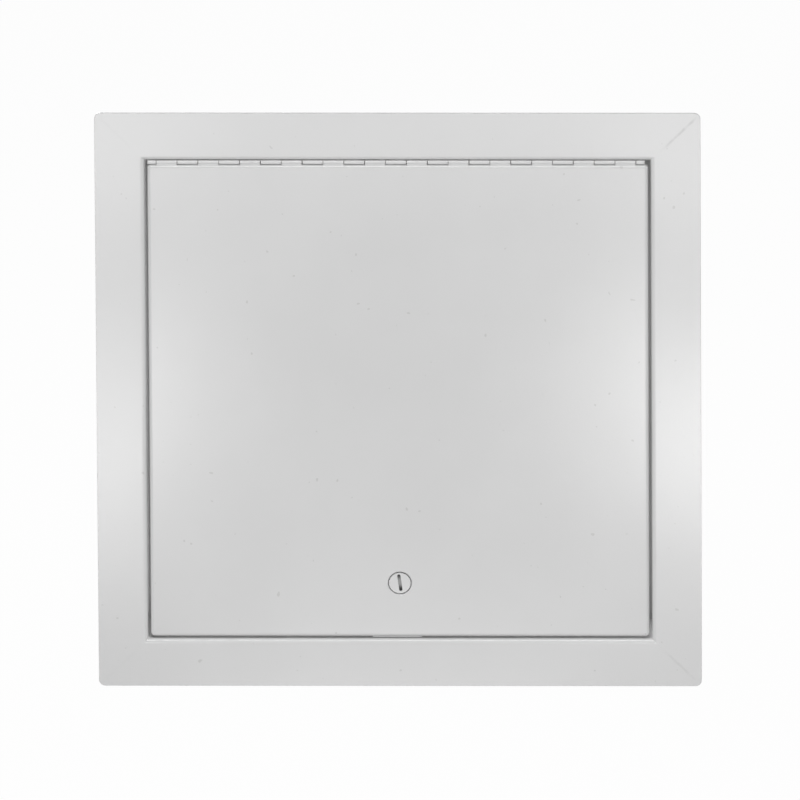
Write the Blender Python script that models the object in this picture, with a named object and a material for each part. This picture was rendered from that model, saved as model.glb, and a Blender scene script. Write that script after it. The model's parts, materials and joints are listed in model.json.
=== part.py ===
"""Flush steel access panel for a wall or ceiling.

A mitred angle frame lines a square hole in a wall. A pressed steel door hangs in it from a
continuous hinge along its top edge and is held shut by a cam that a screwdriver turns.

Axes: +X right, +Y into the wall, +Z up, seen by someone who faces the door.
Origin: the centre of the frame's opening, on the wall's surface.
"""

import math

import bmesh
import bpy
from mathutils import Matrix, Vector

MM = 0.001

# Frame: an angle section, flange on the wall and return in the hole.
OPENING_WIDTH = 308.0 * MM
OPENING_HEIGHT = 308.0 * MM
FRAME_SHEET = 1.5 * MM
FLANGE_WIDTH = 30.5 * MM
FRAME_DEPTH = 38.0 * MM
FRAME_BEND_RADIUS = 3.0 * MM
FLANGE_CORNER_RADIUS = 4.0 * MM
MITRE_GAP = 0.1 * MM

# Screw holes in the returns, through which the frame is fixed to studs.
SCREW_HOLE_DIAMETER = 6.4 * MM
SCREW_HOLE_SPACING = 200.0 * MM
SCREW_HOLE_FROM_REAR = 9.0 * MM

# Weld bead that closes each mitre at the back of the returns.
WELD_LEG = 2.6 * MM
WELD_CROWN = 0.7 * MM

# Clearances: the running gap round the door, and the gap between pieces that seat on each other,
# which is smaller above and below the hinge's leaves.
DOOR_GAP = 1.5 * MM
SEAT_GAP = 0.3 * MM
LEAF_GAP = 0.15 * MM

# Door: a pan of sheet steel with its four edges turned back.
DOOR_SHEET = 1.5 * MM
DOOR_BEND_RADIUS = 2.2 * MM
DOOR_EDGE_DEPTH = 10.0 * MM

# Continuous hinge: two rolled leaves on one pin.
HINGE_BARREL = 2.6 * MM
HINGE_SHEET = 0.6 * MM
HINGE_PIN_CLEARANCE = 0.1 * MM
HINGE_END_MARGIN = 2.6 * MM
HINGE_SIDE_SHIFT = -0.9 * MM
HINGE_AXIS_SETBACK = 1.7 * MM
KNUCKLE_LENGTH = 12.7 * MM
KNUCKLE_GAP = 0.35 * MM
KNUCKLE_SEAM = 20.0
NOTCH_CLEARANCE = 0.6 * MM
FRAME_LEAF_DEPTH = 18.0 * MM
DOOR_LEAF_MARGIN = 0.6 * MM

# Latch: a slotted stud in a dimple, with the spring and the cam behind the door.
LATCH_SETBACK = 34.5 * MM
LATCH_SIDE_SHIFT = 0.0 * MM
STUD_HEAD_DIAMETER = 13.2 * MM
STUD_HEAD_THICKNESS = 2.2 * MM
STUD_HEAD_CHAMFER = 0.35 * MM
STUD_SHANK_DIAMETER = 6.3 * MM
STUD_FLATS = 5.0 * MM
STUD_END_LENGTH = 1.5 * MM
SLOT_LENGTH = 10.8 * MM
SLOT_WIDTH = 2.0 * MM
SLOT_DEPTH = 1.2 * MM
SLOT_LEAN = 7.7
DIMPLE_CLEARANCE = 0.55 * MM
DIMPLE_RIM_RADIUS = 0.8 * MM
SHANK_CLEARANCE = 0.3 * MM
WASHER_DIAMETER = 14.0 * MM
WASHER_THICKNESS = 1.0 * MM
SPRING_DIAMETER = 11.0 * MM
SPRING_WIRE = 1.0 * MM
SPRING_TURNS = 2.6
CAM_THICKNESS = 2.5 * MM
CAM_HUB_DIAMETER = 17.0 * MM
CAM_TIP_WIDTH = 10.0 * MM
CAM_TIP_HEIGHT = 3.0 * MM
CAM_OVERLAP = 4.0 * MM
LOCK_WASHER_DIAMETER = 11.5 * MM
LOCK_WASHER_THICKNESS = 1.5 * MM
LOCK_WASHER_SPLIT = 16.0
NUT_ACROSS_FLATS = 11.1 * MM
NUT_THICKNESS = 5.6 * MM
NUT_CHAMFER = 0.6 * MM

# Strike: a folded strip on the bottom return that the cam turns behind.
STRIKE_WIDTH = 30.0 * MM
STRIKE_SIDE_SHIFT = -1.8 * MM
STRIKE_FOOT_CLEARANCE = 0.4 * MM
STRIKE_FRONT_SETBACK = 2.7 * MM
STRIKE_BEND_RADIUS = 1.2 * MM

# Facets of the round shapes.
BEND_STEPS = 6
CORNER_STEPS = 6
BARREL_STEPS = 14
ROUND_STEPS = 32
SMALL_STEPS = 20
WIRE_SIDES = 8

# How far a cutter runs past the metal that it cuts.
CUTTER_MARGIN = 2.0 * MM

# Places that follow from the sizes above.
FACE_Y = -FRAME_SHEET
HALF_WIDTH = OPENING_WIDTH / 2
HALF_HEIGHT = OPENING_HEIGHT / 2
FRAME_REAR_Y = FACE_Y + FRAME_DEPTH
HINGE_RADIUS = HINGE_BARREL / 2
HINGE_Y = FACE_Y + HINGE_AXIS_SETBACK
HINGE_Z = HALF_HEIGHT - LEAF_GAP - HINGE_RADIUS
HINGE_LENGTH = OPENING_WIDTH - 2 * HINGE_END_MARGIN
HINGE_BORE_RADIUS = HINGE_RADIUS - HINGE_SHEET
DOOR_HALF_WIDTH = HALF_WIDTH - DOOR_GAP
DOOR_TOP_Z = HINGE_Z - HINGE_RADIUS - LEAF_GAP
DOOR_BOTTOM_Z = -HALF_HEIGHT + DOOR_GAP
DOOR_REAR_Y = FACE_Y + DOOR_EDGE_DEPTH
LATCH_Z = DOOR_BOTTOM_Z + LATCH_SETBACK
STUD_RADIUS = STUD_SHANK_DIAMETER / 2
DIMPLE_RADIUS = STUD_HEAD_DIAMETER / 2 + DIMPLE_CLEARANCE
DIMPLE_DEPTH = STUD_HEAD_THICKNESS + SEAT_GAP
WASHER_Y = FACE_Y + DIMPLE_DEPTH + DOOR_SHEET + SEAT_GAP
SPRING_Y = WASHER_Y + WASHER_THICKNESS + SEAT_GAP
STRIKE_SHEET = DOOR_GAP - SEAT_GAP - STRIKE_FOOT_CLEARANCE
STRIKE_Y = DOOR_REAR_Y + SEAT_GAP
CAM_Y = STRIKE_Y + STRIKE_SHEET + SEAT_GAP
CAM_REACH = LATCH_SETBACK - CAM_TIP_HEIGHT
LOCK_WASHER_Y = CAM_Y + CAM_THICKNESS + SEAT_GAP
NUT_Y = LOCK_WASHER_Y + LOCK_WASHER_THICKNESS + SEAT_GAP
STUD_END_Y = NUT_Y + NUT_THICKNESS + STUD_END_LENGTH
STRIKE_BASE_Z = -HALF_HEIGHT + SEAT_GAP
STRIKE_TOP_Z = DOOR_BOTTOM_Z + CAM_TIP_HEIGHT + CAM_OVERLAP


# Small tools: scene, materials, arcs, prisms and cuts.

def clear_scene():
    """Remove every object of the file that the script starts in."""
    for item in list(bpy.data.objects):
        bpy.data.objects.remove(item, do_unlink=True)


def make_material(name, colour, roughness, metallic):
    """A Principled material with one colour."""
    material = bpy.data.materials.new(name)
    material.use_nodes = True
    shader = material.node_tree.nodes["Principled BSDF"]
    shader.inputs["Base Color"].default_value = (*colour, 1.0)
    shader.inputs["Roughness"].default_value = roughness
    shader.inputs["Metallic"].default_value = metallic
    return material


def add_object(name, shape, material=None, smooth_angle=30.0):
    """Turn a bmesh into an object, with its round faces shaded smooth."""
    bmesh.ops.recalc_face_normals(shape, faces=shape.faces)
    mesh = bpy.data.meshes.new(name)
    shape.to_mesh(mesh)
    shape.free()
    mesh.shade_smooth()
    mesh.set_sharp_from_angle(angle=math.radians(smooth_angle))
    item = bpy.data.objects.new(name, mesh)
    bpy.context.scene.collection.objects.link(item)
    if material:
        mesh.materials.append(material)
    return item


def make_cutter(item):
    """Keep an object as a guide that only cuts others."""
    item.hide_render = True
    item.display_type = "WIRE"
    return item


def add_boolean(item, cutter, operation="DIFFERENCE"):
    """Cut, join or trim an object with another one."""
    step = item.modifiers.new(cutter.name, "BOOLEAN")
    step.object = cutter
    step.operation = operation
    step.solver = "EXACT"


def shape_with(item, cutter, operation="DIFFERENCE"):
    """Cut, join or trim an object with one that then moves with it."""
    cutter.parent = item
    add_boolean(item, cutter, operation)


def arc(centre, radius, start, end, steps):
    """Points of an arc in a plane, both ends included, angles in degrees."""
    points = []
    for index in range(steps + 1):
        angle = math.radians(start + (end - start) * index / steps)
        points.append((centre[0] + radius * math.cos(angle), centre[1] + radius * math.sin(angle)))
    return points


def circle(centre, radius, steps):
    """Points of a full circle, the first not repeated."""
    return arc(centre, radius, 0.0, 360.0, steps)[:-1]


def loft(rings):
    """A closed solid through rings with equal numbers of points, flat at both ends."""
    shape = bmesh.new()
    loops = [[shape.verts.new(point) for point in ring] for ring in rings]
    for near, far in zip(loops, loops[1:]):
        for index in range(len(near)):
            after = (index + 1) % len(near)
            shape.faces.new((near[index], near[after], far[after], far[index]))
    shape.faces.new(loops[0])
    shape.faces.new(reversed(loops[-1]))
    return shape


def prism_along_x(outline, start, end):
    """A solid with an outline of (y, z) points, from one x to another."""
    return loft([[(x, y, z) for y, z in outline] for x in (start, end)])


def prism_along_y(outline, start, end):
    """A solid with an outline of (x, z) points, from one y to another."""
    return loft([[(x, y, z) for x, z in outline] for y in (start, end)])


def turned_along_y(profile, centre_x, centre_z, steps):
    """A solid of (y, radius) points turned about an axis that runs along Y."""
    rings = []
    for y, radius in profile:
        rings.append([(x, y, z) for x, z in circle((centre_x, centre_z), radius, steps)])
    return loft(rings)


def box(low, high):
    """A box between two corners."""
    outline = [(low[0], low[2]), (high[0], low[2]), (high[0], high[2]), (low[0], high[2])]
    return prism_along_y(outline, low[1], high[1])


def join_shapes(shapes):
    """One bmesh that holds several separate solids."""
    whole = bmesh.new()
    for shape in shapes:
        mesh = bpy.data.meshes.new("joined")
        shape.to_mesh(mesh)
        shape.free()
        whole.from_mesh(mesh)
        bpy.data.meshes.remove(mesh)
    return whole


def rounded_rectangle(half_width, half_height, radius, steps):
    """Outline of (x, z) points of a rectangle with round corners, about the origin."""
    inner_x = half_width - radius
    inner_z = half_height - radius
    outline = []
    for side_x, side_z, start in ((1, 1, 0), (-1, 1, 90), (-1, -1, 180), (1, -1, 270)):
        outline += arc((side_x * inner_x, side_z * inner_z), radius, start, start + 90.0, steps)
    return outline


def place_about_y(item, degrees):
    """Turn an object about the Y axis through the origin."""
    item.rotation_euler = (0.0, math.radians(degrees), 0.0)


# Frame.

def frame_section(blank_width):
    """Outline of the angle section as (y, distance outward from the opening) points."""
    centre = (FACE_Y + FRAME_BEND_RADIUS, FRAME_BEND_RADIUS)
    inner_radius = FRAME_BEND_RADIUS - FRAME_SHEET
    outline = [(FACE_Y, blank_width)]
    outline += arc(centre, FRAME_BEND_RADIUS, 180.0, 270.0, BEND_STEPS)
    outline += [(FRAME_REAR_Y, 0.0), (FRAME_REAR_Y, FRAME_SHEET)]
    outline += arc(centre, inner_radius, 270.0, 180.0, BEND_STEPS)
    outline.append((0.0, blank_width))
    return outline


def make_rail(name, turn, half_opening, half_span, outline_cutter, hole_cutter, material):
    """One side of the frame, mitred at both ends, made at the top and turned to its side."""
    section = frame_section(FLANGE_WIDTH + CUTTER_MARGIN)
    setback = MITRE_GAP * math.sqrt(2) / 2
    rings = []
    for side in (-1, 1):
        rings.append([(side * (half_span + out - setback), y, half_opening + out) for y, out in section])
    rail = add_object(name, loft(rings), material)
    place_about_y(rail, turn)
    add_boolean(rail, outline_cutter, "INTERSECT")
    add_boolean(rail, hole_cutter)
    return rail


def make_frame_outline():
    """The outer outline that the flanges are trimmed to."""
    outline = rounded_rectangle(
        HALF_WIDTH + FLANGE_WIDTH, HALF_HEIGHT + FLANGE_WIDTH, FLANGE_CORNER_RADIUS, CORNER_STEPS
    )
    shape = prism_along_y(outline, FACE_Y - CUTTER_MARGIN, FRAME_REAR_Y + CUTTER_MARGIN)
    return make_cutter(add_object("frame_outline", shape))


def make_screw_holes():
    """Two holes through each of the four returns."""
    hole_y = FRAME_REAR_Y - SCREW_HOLE_FROM_REAR
    radius = SCREW_HOLE_DIAMETER / 2
    shapes = []
    for side in (-1, 1):
        for along in (-SCREW_HOLE_SPACING / 2, SCREW_HOLE_SPACING / 2):
            reach_x = (side * (HALF_WIDTH - CUTTER_MARGIN), side * (HALF_WIDTH + 2 * CUTTER_MARGIN))
            ring = circle((hole_y, along), radius, SMALL_STEPS)
            shapes.append(prism_along_x(ring, *reach_x))
            reach_z = (side * (HALF_HEIGHT - CUTTER_MARGIN), side * (HALF_HEIGHT + 2 * CUTTER_MARGIN))
            ring = circle((along, hole_y), radius, SMALL_STEPS)
            shapes.append(loft([[(x, y, z) for x, y in ring] for z in reach_z]))
    return make_cutter(add_object("screw_holes", join_shapes(shapes)))


def make_corner_weld(name, side_x, side_z, material):
    """The bead along a mitre at the back of the returns, crowned over the corner."""
    corner_x = HALF_WIDTH + FRAME_SHEET + SEAT_GAP
    corner_z = HALF_HEIGHT + FRAME_SHEET + SEAT_GAP
    half_chord = WELD_LEG / math.sqrt(2)
    rise = half_chord + WELD_CROWN
    radius = (half_chord**2 + rise**2) / (2 * rise)
    middle = (rise - radius - half_chord) / math.sqrt(2)
    reach = 180.0 - math.degrees(math.asin(half_chord / radius))
    crown = arc((middle, middle), radius, 45.0 - reach, 45.0 + reach, CORNER_STEPS)[1:-1]
    outline = [(0.0, 0.0), (0.0, -WELD_LEG)] + crown + [(-WELD_LEG, 0.0)]
    placed = [(side_x * (corner_x + x), side_z * (corner_z + z)) for x, z in outline]
    start_y = FACE_Y + FRAME_BEND_RADIUS + SEAT_GAP
    return add_object(name, prism_along_y(placed, start_y, FRAME_REAR_Y - SEAT_GAP), material)


def make_frame(painted, weld_metal):
    """Four mitred sides and the four beads that hold them."""
    outline = make_frame_outline()
    holes = make_screw_holes()
    make_rail("frame_top_rail", 0.0, HALF_HEIGHT, HALF_WIDTH, outline, holes, painted)
    make_rail("frame_right_stile", 90.0, HALF_WIDTH, HALF_HEIGHT, outline, holes, painted)
    make_rail("frame_bottom_rail", 180.0, HALF_HEIGHT, HALF_WIDTH, outline, holes, painted)
    make_rail("frame_left_stile", 270.0, HALF_WIDTH, HALF_HEIGHT, outline, holes, painted)
    for side_z, upright in ((1, "top"), (-1, "bottom")):
        for side_x, across in ((-1, "left"), (1, "right")):
            make_corner_weld(f"corner_weld_{upright}_{across}", side_x, side_z, weld_metal)


def make_strike(material):
    """The folded strip that the cam turns behind: its foot on the return, its lip upright."""
    front = FACE_Y + STRIKE_FRONT_SETBACK
    rear = STRIKE_Y + STRIKE_SHEET
    centre = (rear - STRIKE_BEND_RADIUS, STRIKE_BASE_Z + STRIKE_BEND_RADIUS)
    outline = [(front, STRIKE_BASE_Z)]
    outline += arc(centre, STRIKE_BEND_RADIUS, 270.0, 360.0, BEND_STEPS)
    outline += [(rear, STRIKE_TOP_Z), (STRIKE_Y, STRIKE_TOP_Z)]
    outline += arc(centre, STRIKE_BEND_RADIUS - STRIKE_SHEET, 360.0, 270.0, BEND_STEPS)
    outline.append((front, STRIKE_BASE_Z + STRIKE_SHEET))
    start = STRIKE_SIDE_SHIFT - STRIKE_WIDTH / 2
    return add_object("strike", prism_along_x(outline, start, start + STRIKE_WIDTH), material)


# Hinge.

def knuckle_bounds():
    """The x of each joint between knuckles, ends of the hinge included."""
    start = HINGE_SIDE_SHIFT - HINGE_LENGTH / 2
    whole = int(HINGE_LENGTH // KNUCKLE_LENGTH)
    end_length = (HINGE_LENGTH - whole * KNUCKLE_LENGTH) / 2
    bounds = [start]
    bounds += [start + end_length + index * KNUCKLE_LENGTH for index in range(whole + 1)]
    bounds.append(start + HINGE_LENGTH)
    return bounds


def leaf_section(leaf_depth, side):
    """Outline of a leaf rolled round the pin: flat, then a curl that stops short of closing.

    side is 1 for a leaf above the pin and -1 for one below it.
    """
    curl_start = 90.0
    curl_end = 360.0 + KNUCKLE_SEAM
    outer = arc((0.0, 0.0), HINGE_RADIUS, curl_start, curl_end, BARREL_STEPS)
    inner = arc((0.0, 0.0), HINGE_BORE_RADIUS, curl_end, curl_start, BARREL_STEPS)
    outline = [(leaf_depth, HINGE_RADIUS)] + outer + inner + [(leaf_depth, HINGE_BORE_RADIUS)]
    return [(HINGE_Y + y, HINGE_Z + side * z) for y, z in outline]


def make_notches(name, first):
    """A comb that clears every second knuckle, first being the index of its first tooth."""
    bounds = knuckle_bounds()
    low_y = HINGE_Y - HINGE_RADIUS - CUTTER_MARGIN
    high_y = HINGE_Y + HINGE_RADIUS + NOTCH_CLEARANCE
    reach_z = HINGE_RADIUS + CUTTER_MARGIN
    teeth = []
    for index in range(first, len(bounds) - 1, 2):
        past_start = CUTTER_MARGIN if index == 0 else KNUCKLE_GAP / 2
        past_end = CUTTER_MARGIN if index == len(bounds) - 2 else KNUCKLE_GAP / 2
        low = (bounds[index] - past_start, low_y, HINGE_Z - reach_z)
        high = (bounds[index + 1] + past_end, high_y, HINGE_Z + reach_z)
        teeth.append(box(low, high))
    return make_cutter(add_object(name, join_shapes(teeth)))


def make_leaf(name, leaf_depth, side, first_notch, material):
    """One leaf with its row of rolled knuckles."""
    bounds = knuckle_bounds()
    leaf = add_object(name, prism_along_x(leaf_section(leaf_depth, side), bounds[0], bounds[-1]), material)
    shape_with(leaf, make_notches(name + "_notches", first_notch))
    return leaf


def make_hinge_pin(material):
    """The pin through every knuckle."""
    bounds = knuckle_bounds()
    ring = circle((HINGE_Y, HINGE_Z), HINGE_BORE_RADIUS - HINGE_PIN_CLEARANCE, SMALL_STEPS)
    ends = (bounds[0] + KNUCKLE_GAP, bounds[-1] - KNUCKLE_GAP)
    return add_object("hinge_pin", prism_along_x(ring, *ends), material)


# Door.

def make_door_surface():
    """The outer skin of the pan: a five-sided tray, open at the back, about its own centre."""
    half_height = (DOOR_TOP_Z - DOOR_BOTTOM_Z) / 2
    shape = box((-DOOR_HALF_WIDTH, 0.0, -half_height), (DOOR_HALF_WIDTH, DOOR_EDGE_DEPTH, half_height))
    rear = [face for face in shape.faces if face.calc_center_median().y > DOOR_EDGE_DEPTH * 0.99]
    bmesh.ops.delete(shape, geom=rear, context="FACES_ONLY")
    bmesh.ops.recalc_face_normals(shape, faces=shape.faces)
    inward = [face for face in shape.faces if face.normal.dot(face.calc_center_median()) < 0]
    bmesh.ops.reverse_faces(shape, faces=inward)
    closed_edges = [edge for edge in shape.edges if len(edge.link_faces) == 2]
    bmesh.ops.bevel(
        shape,
        geom=closed_edges,
        offset=DOOR_BEND_RADIUS,
        segments=BEND_STEPS,
        profile=0.5,
        affect="EDGES",
    )
    return shape


def make_dimple():
    """The cup pressed into the door for the stud's head, seen from behind."""
    radius = DIMPLE_RADIUS + DOOR_SHEET
    floor = FACE_Y + DIMPLE_DEPTH + DOOR_SHEET
    profile = [(FACE_Y + DOOR_SHEET / 2, radius)]
    corner = arc((floor - DOOR_SHEET, radius - DOOR_SHEET), DOOR_SHEET, 90.0, 0.0, BEND_STEPS)
    profile += [(y, r) for y, r in corner]
    shape = turned_along_y(profile, LATCH_SIDE_SHIFT, LATCH_Z, ROUND_STEPS)
    return make_cutter(add_object("dimple_cup", shape))


def make_dimple_recess():
    """The room in front of the dimple's floor, with a rounded rim at the face."""
    rim = arc(
        (FACE_Y + DIMPLE_RIM_RADIUS, DIMPLE_RADIUS + DIMPLE_RIM_RADIUS),
        DIMPLE_RIM_RADIUS,
        180.0,
        270.0,
        BEND_STEPS,
    )
    profile = [(FACE_Y - CUTTER_MARGIN, DIMPLE_RADIUS + DIMPLE_RIM_RADIUS)]
    profile += rim
    profile.append((FACE_Y + DIMPLE_DEPTH, DIMPLE_RADIUS))
    shape = turned_along_y(profile, LATCH_SIDE_SHIFT, LATCH_Z, ROUND_STEPS)
    return make_cutter(add_object("dimple_recess", shape))


def make_shank_hole():
    """The hole for the stud's shank through the dimple's floor."""
    ring = circle((LATCH_SIDE_SHIFT, LATCH_Z), STUD_RADIUS + SHANK_CLEARANCE, SMALL_STEPS)
    shape = prism_along_y(ring, FACE_Y + DIMPLE_DEPTH / 2, WASHER_Y + CUTTER_MARGIN)
    return make_cutter(add_object("shank_hole", shape))


def make_corner_reliefs():
    """The open corners between the turned edges, behind the bend of the face."""
    shapes = []
    inset = DOOR_BEND_RADIUS
    start = FACE_Y + DOOR_BEND_RADIUS + DOOR_SHEET
    for side_x in (-1, 1):
        for corner_z, side_z in ((DOOR_TOP_Z, 1), (DOOR_BOTTOM_Z, -1)):
            near_x = side_x * (DOOR_HALF_WIDTH - inset)
            far_x = side_x * (DOOR_HALF_WIDTH + CUTTER_MARGIN)
            near_z = corner_z - side_z * inset
            far_z = corner_z + side_z * CUTTER_MARGIN
            low = (min(near_x, far_x), start, min(near_z, far_z))
            high = (max(near_x, far_x), DOOR_REAR_Y + CUTTER_MARGIN, max(near_z, far_z))
            shapes.append(box(low, high))
    return make_cutter(add_object("corner_reliefs", join_shapes(shapes)))


def make_door(material):
    """The pan, with its dimple, its open corners and the hole for the stud."""
    door = add_object("door_panel", make_door_surface(), material)
    door.data.transform(Matrix.Translation(Vector((0.0, FACE_Y, (DOOR_TOP_Z + DOOR_BOTTOM_Z) / 2))))
    wall = door.modifiers.new("sheet", "SOLIDIFY")
    wall.thickness = DOOR_SHEET
    wall.offset = -1.0
    wall.use_even_offset = True
    shape_with(door, make_dimple(), "UNION")
    shape_with(door, make_dimple_recess())
    shape_with(door, make_shank_hole())
    shape_with(door, make_corner_reliefs())
    return door


# Latch.

def make_stud(material):
    """The slotted head and its shank, with flats that drive the cam."""
    head = STUD_HEAD_DIAMETER / 2
    neck_y = FACE_Y + STUD_HEAD_THICKNESS
    profile = [
        (FACE_Y, head - STUD_HEAD_CHAMFER),
        (FACE_Y + STUD_HEAD_CHAMFER, head),
        (neck_y, head),
        (neck_y, STUD_RADIUS),
        (STUD_END_Y - STUD_HEAD_CHAMFER, STUD_RADIUS),
        (STUD_END_Y, STUD_RADIUS - STUD_HEAD_CHAMFER),
    ]
    stud = add_object("latch_stud", turned_along_y(profile, 0.0, 0.0, ROUND_STEPS), material)
    shape_with(stud, make_slot())
    shape_with(stud, make_flats())
    return stud


def make_slot():
    """The screwdriver slot, a groove with round closed ends."""
    radius = SLOT_WIDTH / 2
    reach = SLOT_LENGTH / 2 - radius
    outline = arc((0.0, reach), radius, 0.0, 180.0, BEND_STEPS)
    outline += arc((0.0, -reach), radius, 180.0, 360.0, BEND_STEPS)
    shape = prism_along_y(outline, FACE_Y - CUTTER_MARGIN, FACE_Y + SLOT_DEPTH)
    slot = make_cutter(add_object("stud_slot", shape))
    place_about_y(slot, -SLOT_LEAN)
    return slot


def make_flats():
    """What is milled off both sides of the shank behind the spring."""
    shapes = []
    for side in (-1, 1):
        near = side * STUD_FLATS / 2
        far = side * (STUD_RADIUS + CUTTER_MARGIN)
        low = (-STUD_RADIUS - CUTTER_MARGIN, CAM_Y - SEAT_GAP, min(near, far))
        high = (STUD_RADIUS + CUTTER_MARGIN, STUD_END_Y + CUTTER_MARGIN, max(near, far))
        shapes.append(box(low, high))
    return make_cutter(add_object("stud_flats", join_shapes(shapes)))


def ring_solid(outer, inner, start, end):
    """A flat ring between two outlines with equal numbers of (x, z) points."""
    shape = bmesh.new()
    loops = []
    for outline, y in ((outer, start), (outer, end), (inner, end), (inner, start)):
        loops.append([shape.verts.new((x, y, z)) for x, z in outline])
    count = len(outer)
    for near, far in zip(loops, loops[1:] + loops[:1]):
        for index in range(count):
            after = (index + 1) % count
            shape.faces.new((near[index], near[after], far[after], far[index]))
    return shape


def make_washer(material):
    """The plain washer between the dimple and the spring."""
    outer = circle((0.0, 0.0), WASHER_DIAMETER / 2, ROUND_STEPS)
    inner = circle((0.0, 0.0), STUD_RADIUS + SHANK_CLEARANCE, ROUND_STEPS)
    shape = ring_solid(outer, inner, WASHER_Y, WASHER_Y + WASHER_THICKNESS)
    return add_object("latch_washer", shape, material)


def coil(section, radius, start, end, start_y, end_y, steps):
    """A (distance outward, along the axis) section carried along a helix about the Y axis."""
    rings = []
    for index in range(steps + 1):
        share = index / steps
        angle = math.radians(start + (end - start) * share)
        y = start_y + (end_y - start_y) * share
        ring = []
        for out, along in section:
            ring.append(((radius + out) * math.cos(angle), y + along, (radius + out) * math.sin(angle)))
        rings.append(ring)
    return loft(rings)


def make_spring(material):
    """The spring that pulls the head into its dimple and holds the cam where it is left."""
    wire = SPRING_WIRE / 2
    section = circle((0.0, 0.0), wire, WIRE_SIDES)
    low_y = SPRING_Y + wire
    high_y = CAM_Y - SEAT_GAP - wire
    steps = int(SPRING_TURNS * SMALL_STEPS)
    shape = coil(section, SPRING_DIAMETER / 2 - wire, 0.0, 360.0 * SPRING_TURNS, low_y, high_y, steps)
    return add_object("latch_spring", shape, material, smooth_angle=60.0)


def cam_outline():
    """A round hub and a narrower round tip, joined by their common tangents."""
    hub = CAM_HUB_DIAMETER / 2
    tip = CAM_TIP_WIDTH / 2
    span = CAM_REACH - tip
    lean = math.degrees(math.asin((hub - tip) / span))
    outline = arc((span, 0.0), tip, -90.0 + lean, 90.0 - lean, SMALL_STEPS // 2)
    outline += arc((0.0, 0.0), hub, 90.0 - lean, 270.0 + lean, SMALL_STEPS)
    return outline


def flatted_circle(radius, half_flats):
    """Outline of a round shank with two flats, above and below."""
    outline = []
    for x, z in circle((0.0, 0.0), radius, ROUND_STEPS):
        outline.append((x, max(-half_flats, min(half_flats, z))))
    return outline


def make_cam(material):
    """The arm that turns down behind the strike."""
    cam = add_object("cam", prism_along_y(cam_outline(), CAM_Y, CAM_Y + CAM_THICKNESS), material)
    hole = flatted_circle(STUD_RADIUS + SHANK_CLEARANCE, STUD_FLATS / 2 + SHANK_CLEARANCE)
    cutter = prism_along_y(hole, CAM_Y - CUTTER_MARGIN, CAM_Y + CAM_THICKNESS + CUTTER_MARGIN)
    shape_with(cam, make_cutter(add_object("cam_hole", cutter)))
    return cam


def make_lock_washer(material):
    """A split spring washer, its two ends a little apart along the shank."""
    inner = STUD_RADIUS + SHANK_CLEARANCE
    outer = LOCK_WASHER_DIAMETER / 2
    middle = (inner + outer) / 2
    half_width = (outer - inner) / 2
    half_height = LOCK_WASHER_THICKNESS / 4
    section = [(-half_width, -half_height), (half_width, -half_height)]
    section += [(half_width, half_height), (-half_width, half_height)]
    low_y = LOCK_WASHER_Y + half_height
    high_y = LOCK_WASHER_Y + LOCK_WASHER_THICKNESS - half_height
    ends = (LOCK_WASHER_SPLIT / 2, 360.0 - LOCK_WASHER_SPLIT / 2)
    shape = coil(section, middle, *ends, low_y, high_y, ROUND_STEPS)
    return add_object("cam_lock_washer", shape, material)


def make_nut(material):
    """The hexagonal nut, its corners chamfered at both faces."""
    corner = NUT_ACROSS_FLATS / 2 / math.cos(math.radians(30.0))
    hexagon = circle((0.0, 0.0), corner, 6)
    nut = add_object("cam_nut", prism_along_y(hexagon, NUT_Y, NUT_Y + NUT_THICKNESS), material)
    low_y = NUT_Y - CUTTER_MARGIN
    high_y = NUT_Y + NUT_THICKNESS + CUTTER_MARGIN
    slope = (corner - NUT_ACROSS_FLATS / 2) / NUT_CHAMFER
    rise = CUTTER_MARGIN * slope
    chamfer = [
        (low_y, NUT_ACROSS_FLATS / 2 - rise),
        (NUT_Y + NUT_CHAMFER + CUTTER_MARGIN / slope, corner + CUTTER_MARGIN),
        (NUT_Y + NUT_THICKNESS - NUT_CHAMFER - CUTTER_MARGIN / slope, corner + CUTTER_MARGIN),
        (high_y, NUT_ACROSS_FLATS / 2 - rise),
    ]
    cone = make_cutter(add_object("nut_chamfer", turned_along_y(chamfer, 0.0, 0.0, ROUND_STEPS)))
    bore = circle((0.0, 0.0), STUD_RADIUS + SHANK_CLEARANCE, SMALL_STEPS)
    hole = make_cutter(add_object("nut_bore", prism_along_y(bore, low_y, high_y)))
    shape_with(nut, cone, "INTERSECT")
    shape_with(nut, hole)
    return nut


def make_latch(painted, zinc, spring_steel):
    """Every piece that turns with the stud, about an axis through the dimple."""
    axis = bpy.data.objects.new("latch_axis", None)
    bpy.context.scene.collection.objects.link(axis)
    pieces = [
        make_stud(painted),
        make_washer(zinc),
        make_spring(spring_steel),
        make_cam(zinc),
        make_lock_washer(spring_steel),
        make_nut(zinc),
    ]
    for piece in pieces:
        piece.parent = axis
    axis.location = (LATCH_SIDE_SHIFT, 0.0, LATCH_Z)
    return axis


def make_hinge(painted, spring_steel):
    """The continuous hinge: a leaf under the frame's return, one on the door, and the pin."""
    make_leaf("hinge_frame_leaf", FRAME_LEAF_DEPTH, 1, 1, painted)
    door_leaf_depth = DOOR_REAR_Y - DOOR_LEAF_MARGIN - HINGE_Y
    door_leaf = make_leaf("hinge_door_leaf", door_leaf_depth, -1, 0, painted)
    make_hinge_pin(spring_steel)
    return door_leaf


def hang_door(door_pieces):
    """Parent what swings to an empty on the hinge's axis, each where it is."""
    pivot = bpy.data.objects.new("door_pivot", None)
    pivot.location = (0.0, HINGE_Y, HINGE_Z)
    bpy.context.scene.collection.objects.link(pivot)
    for piece in door_pieces:
        piece.parent = pivot
        piece.matrix_parent_inverse = Matrix.Translation(-pivot.location)


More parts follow.
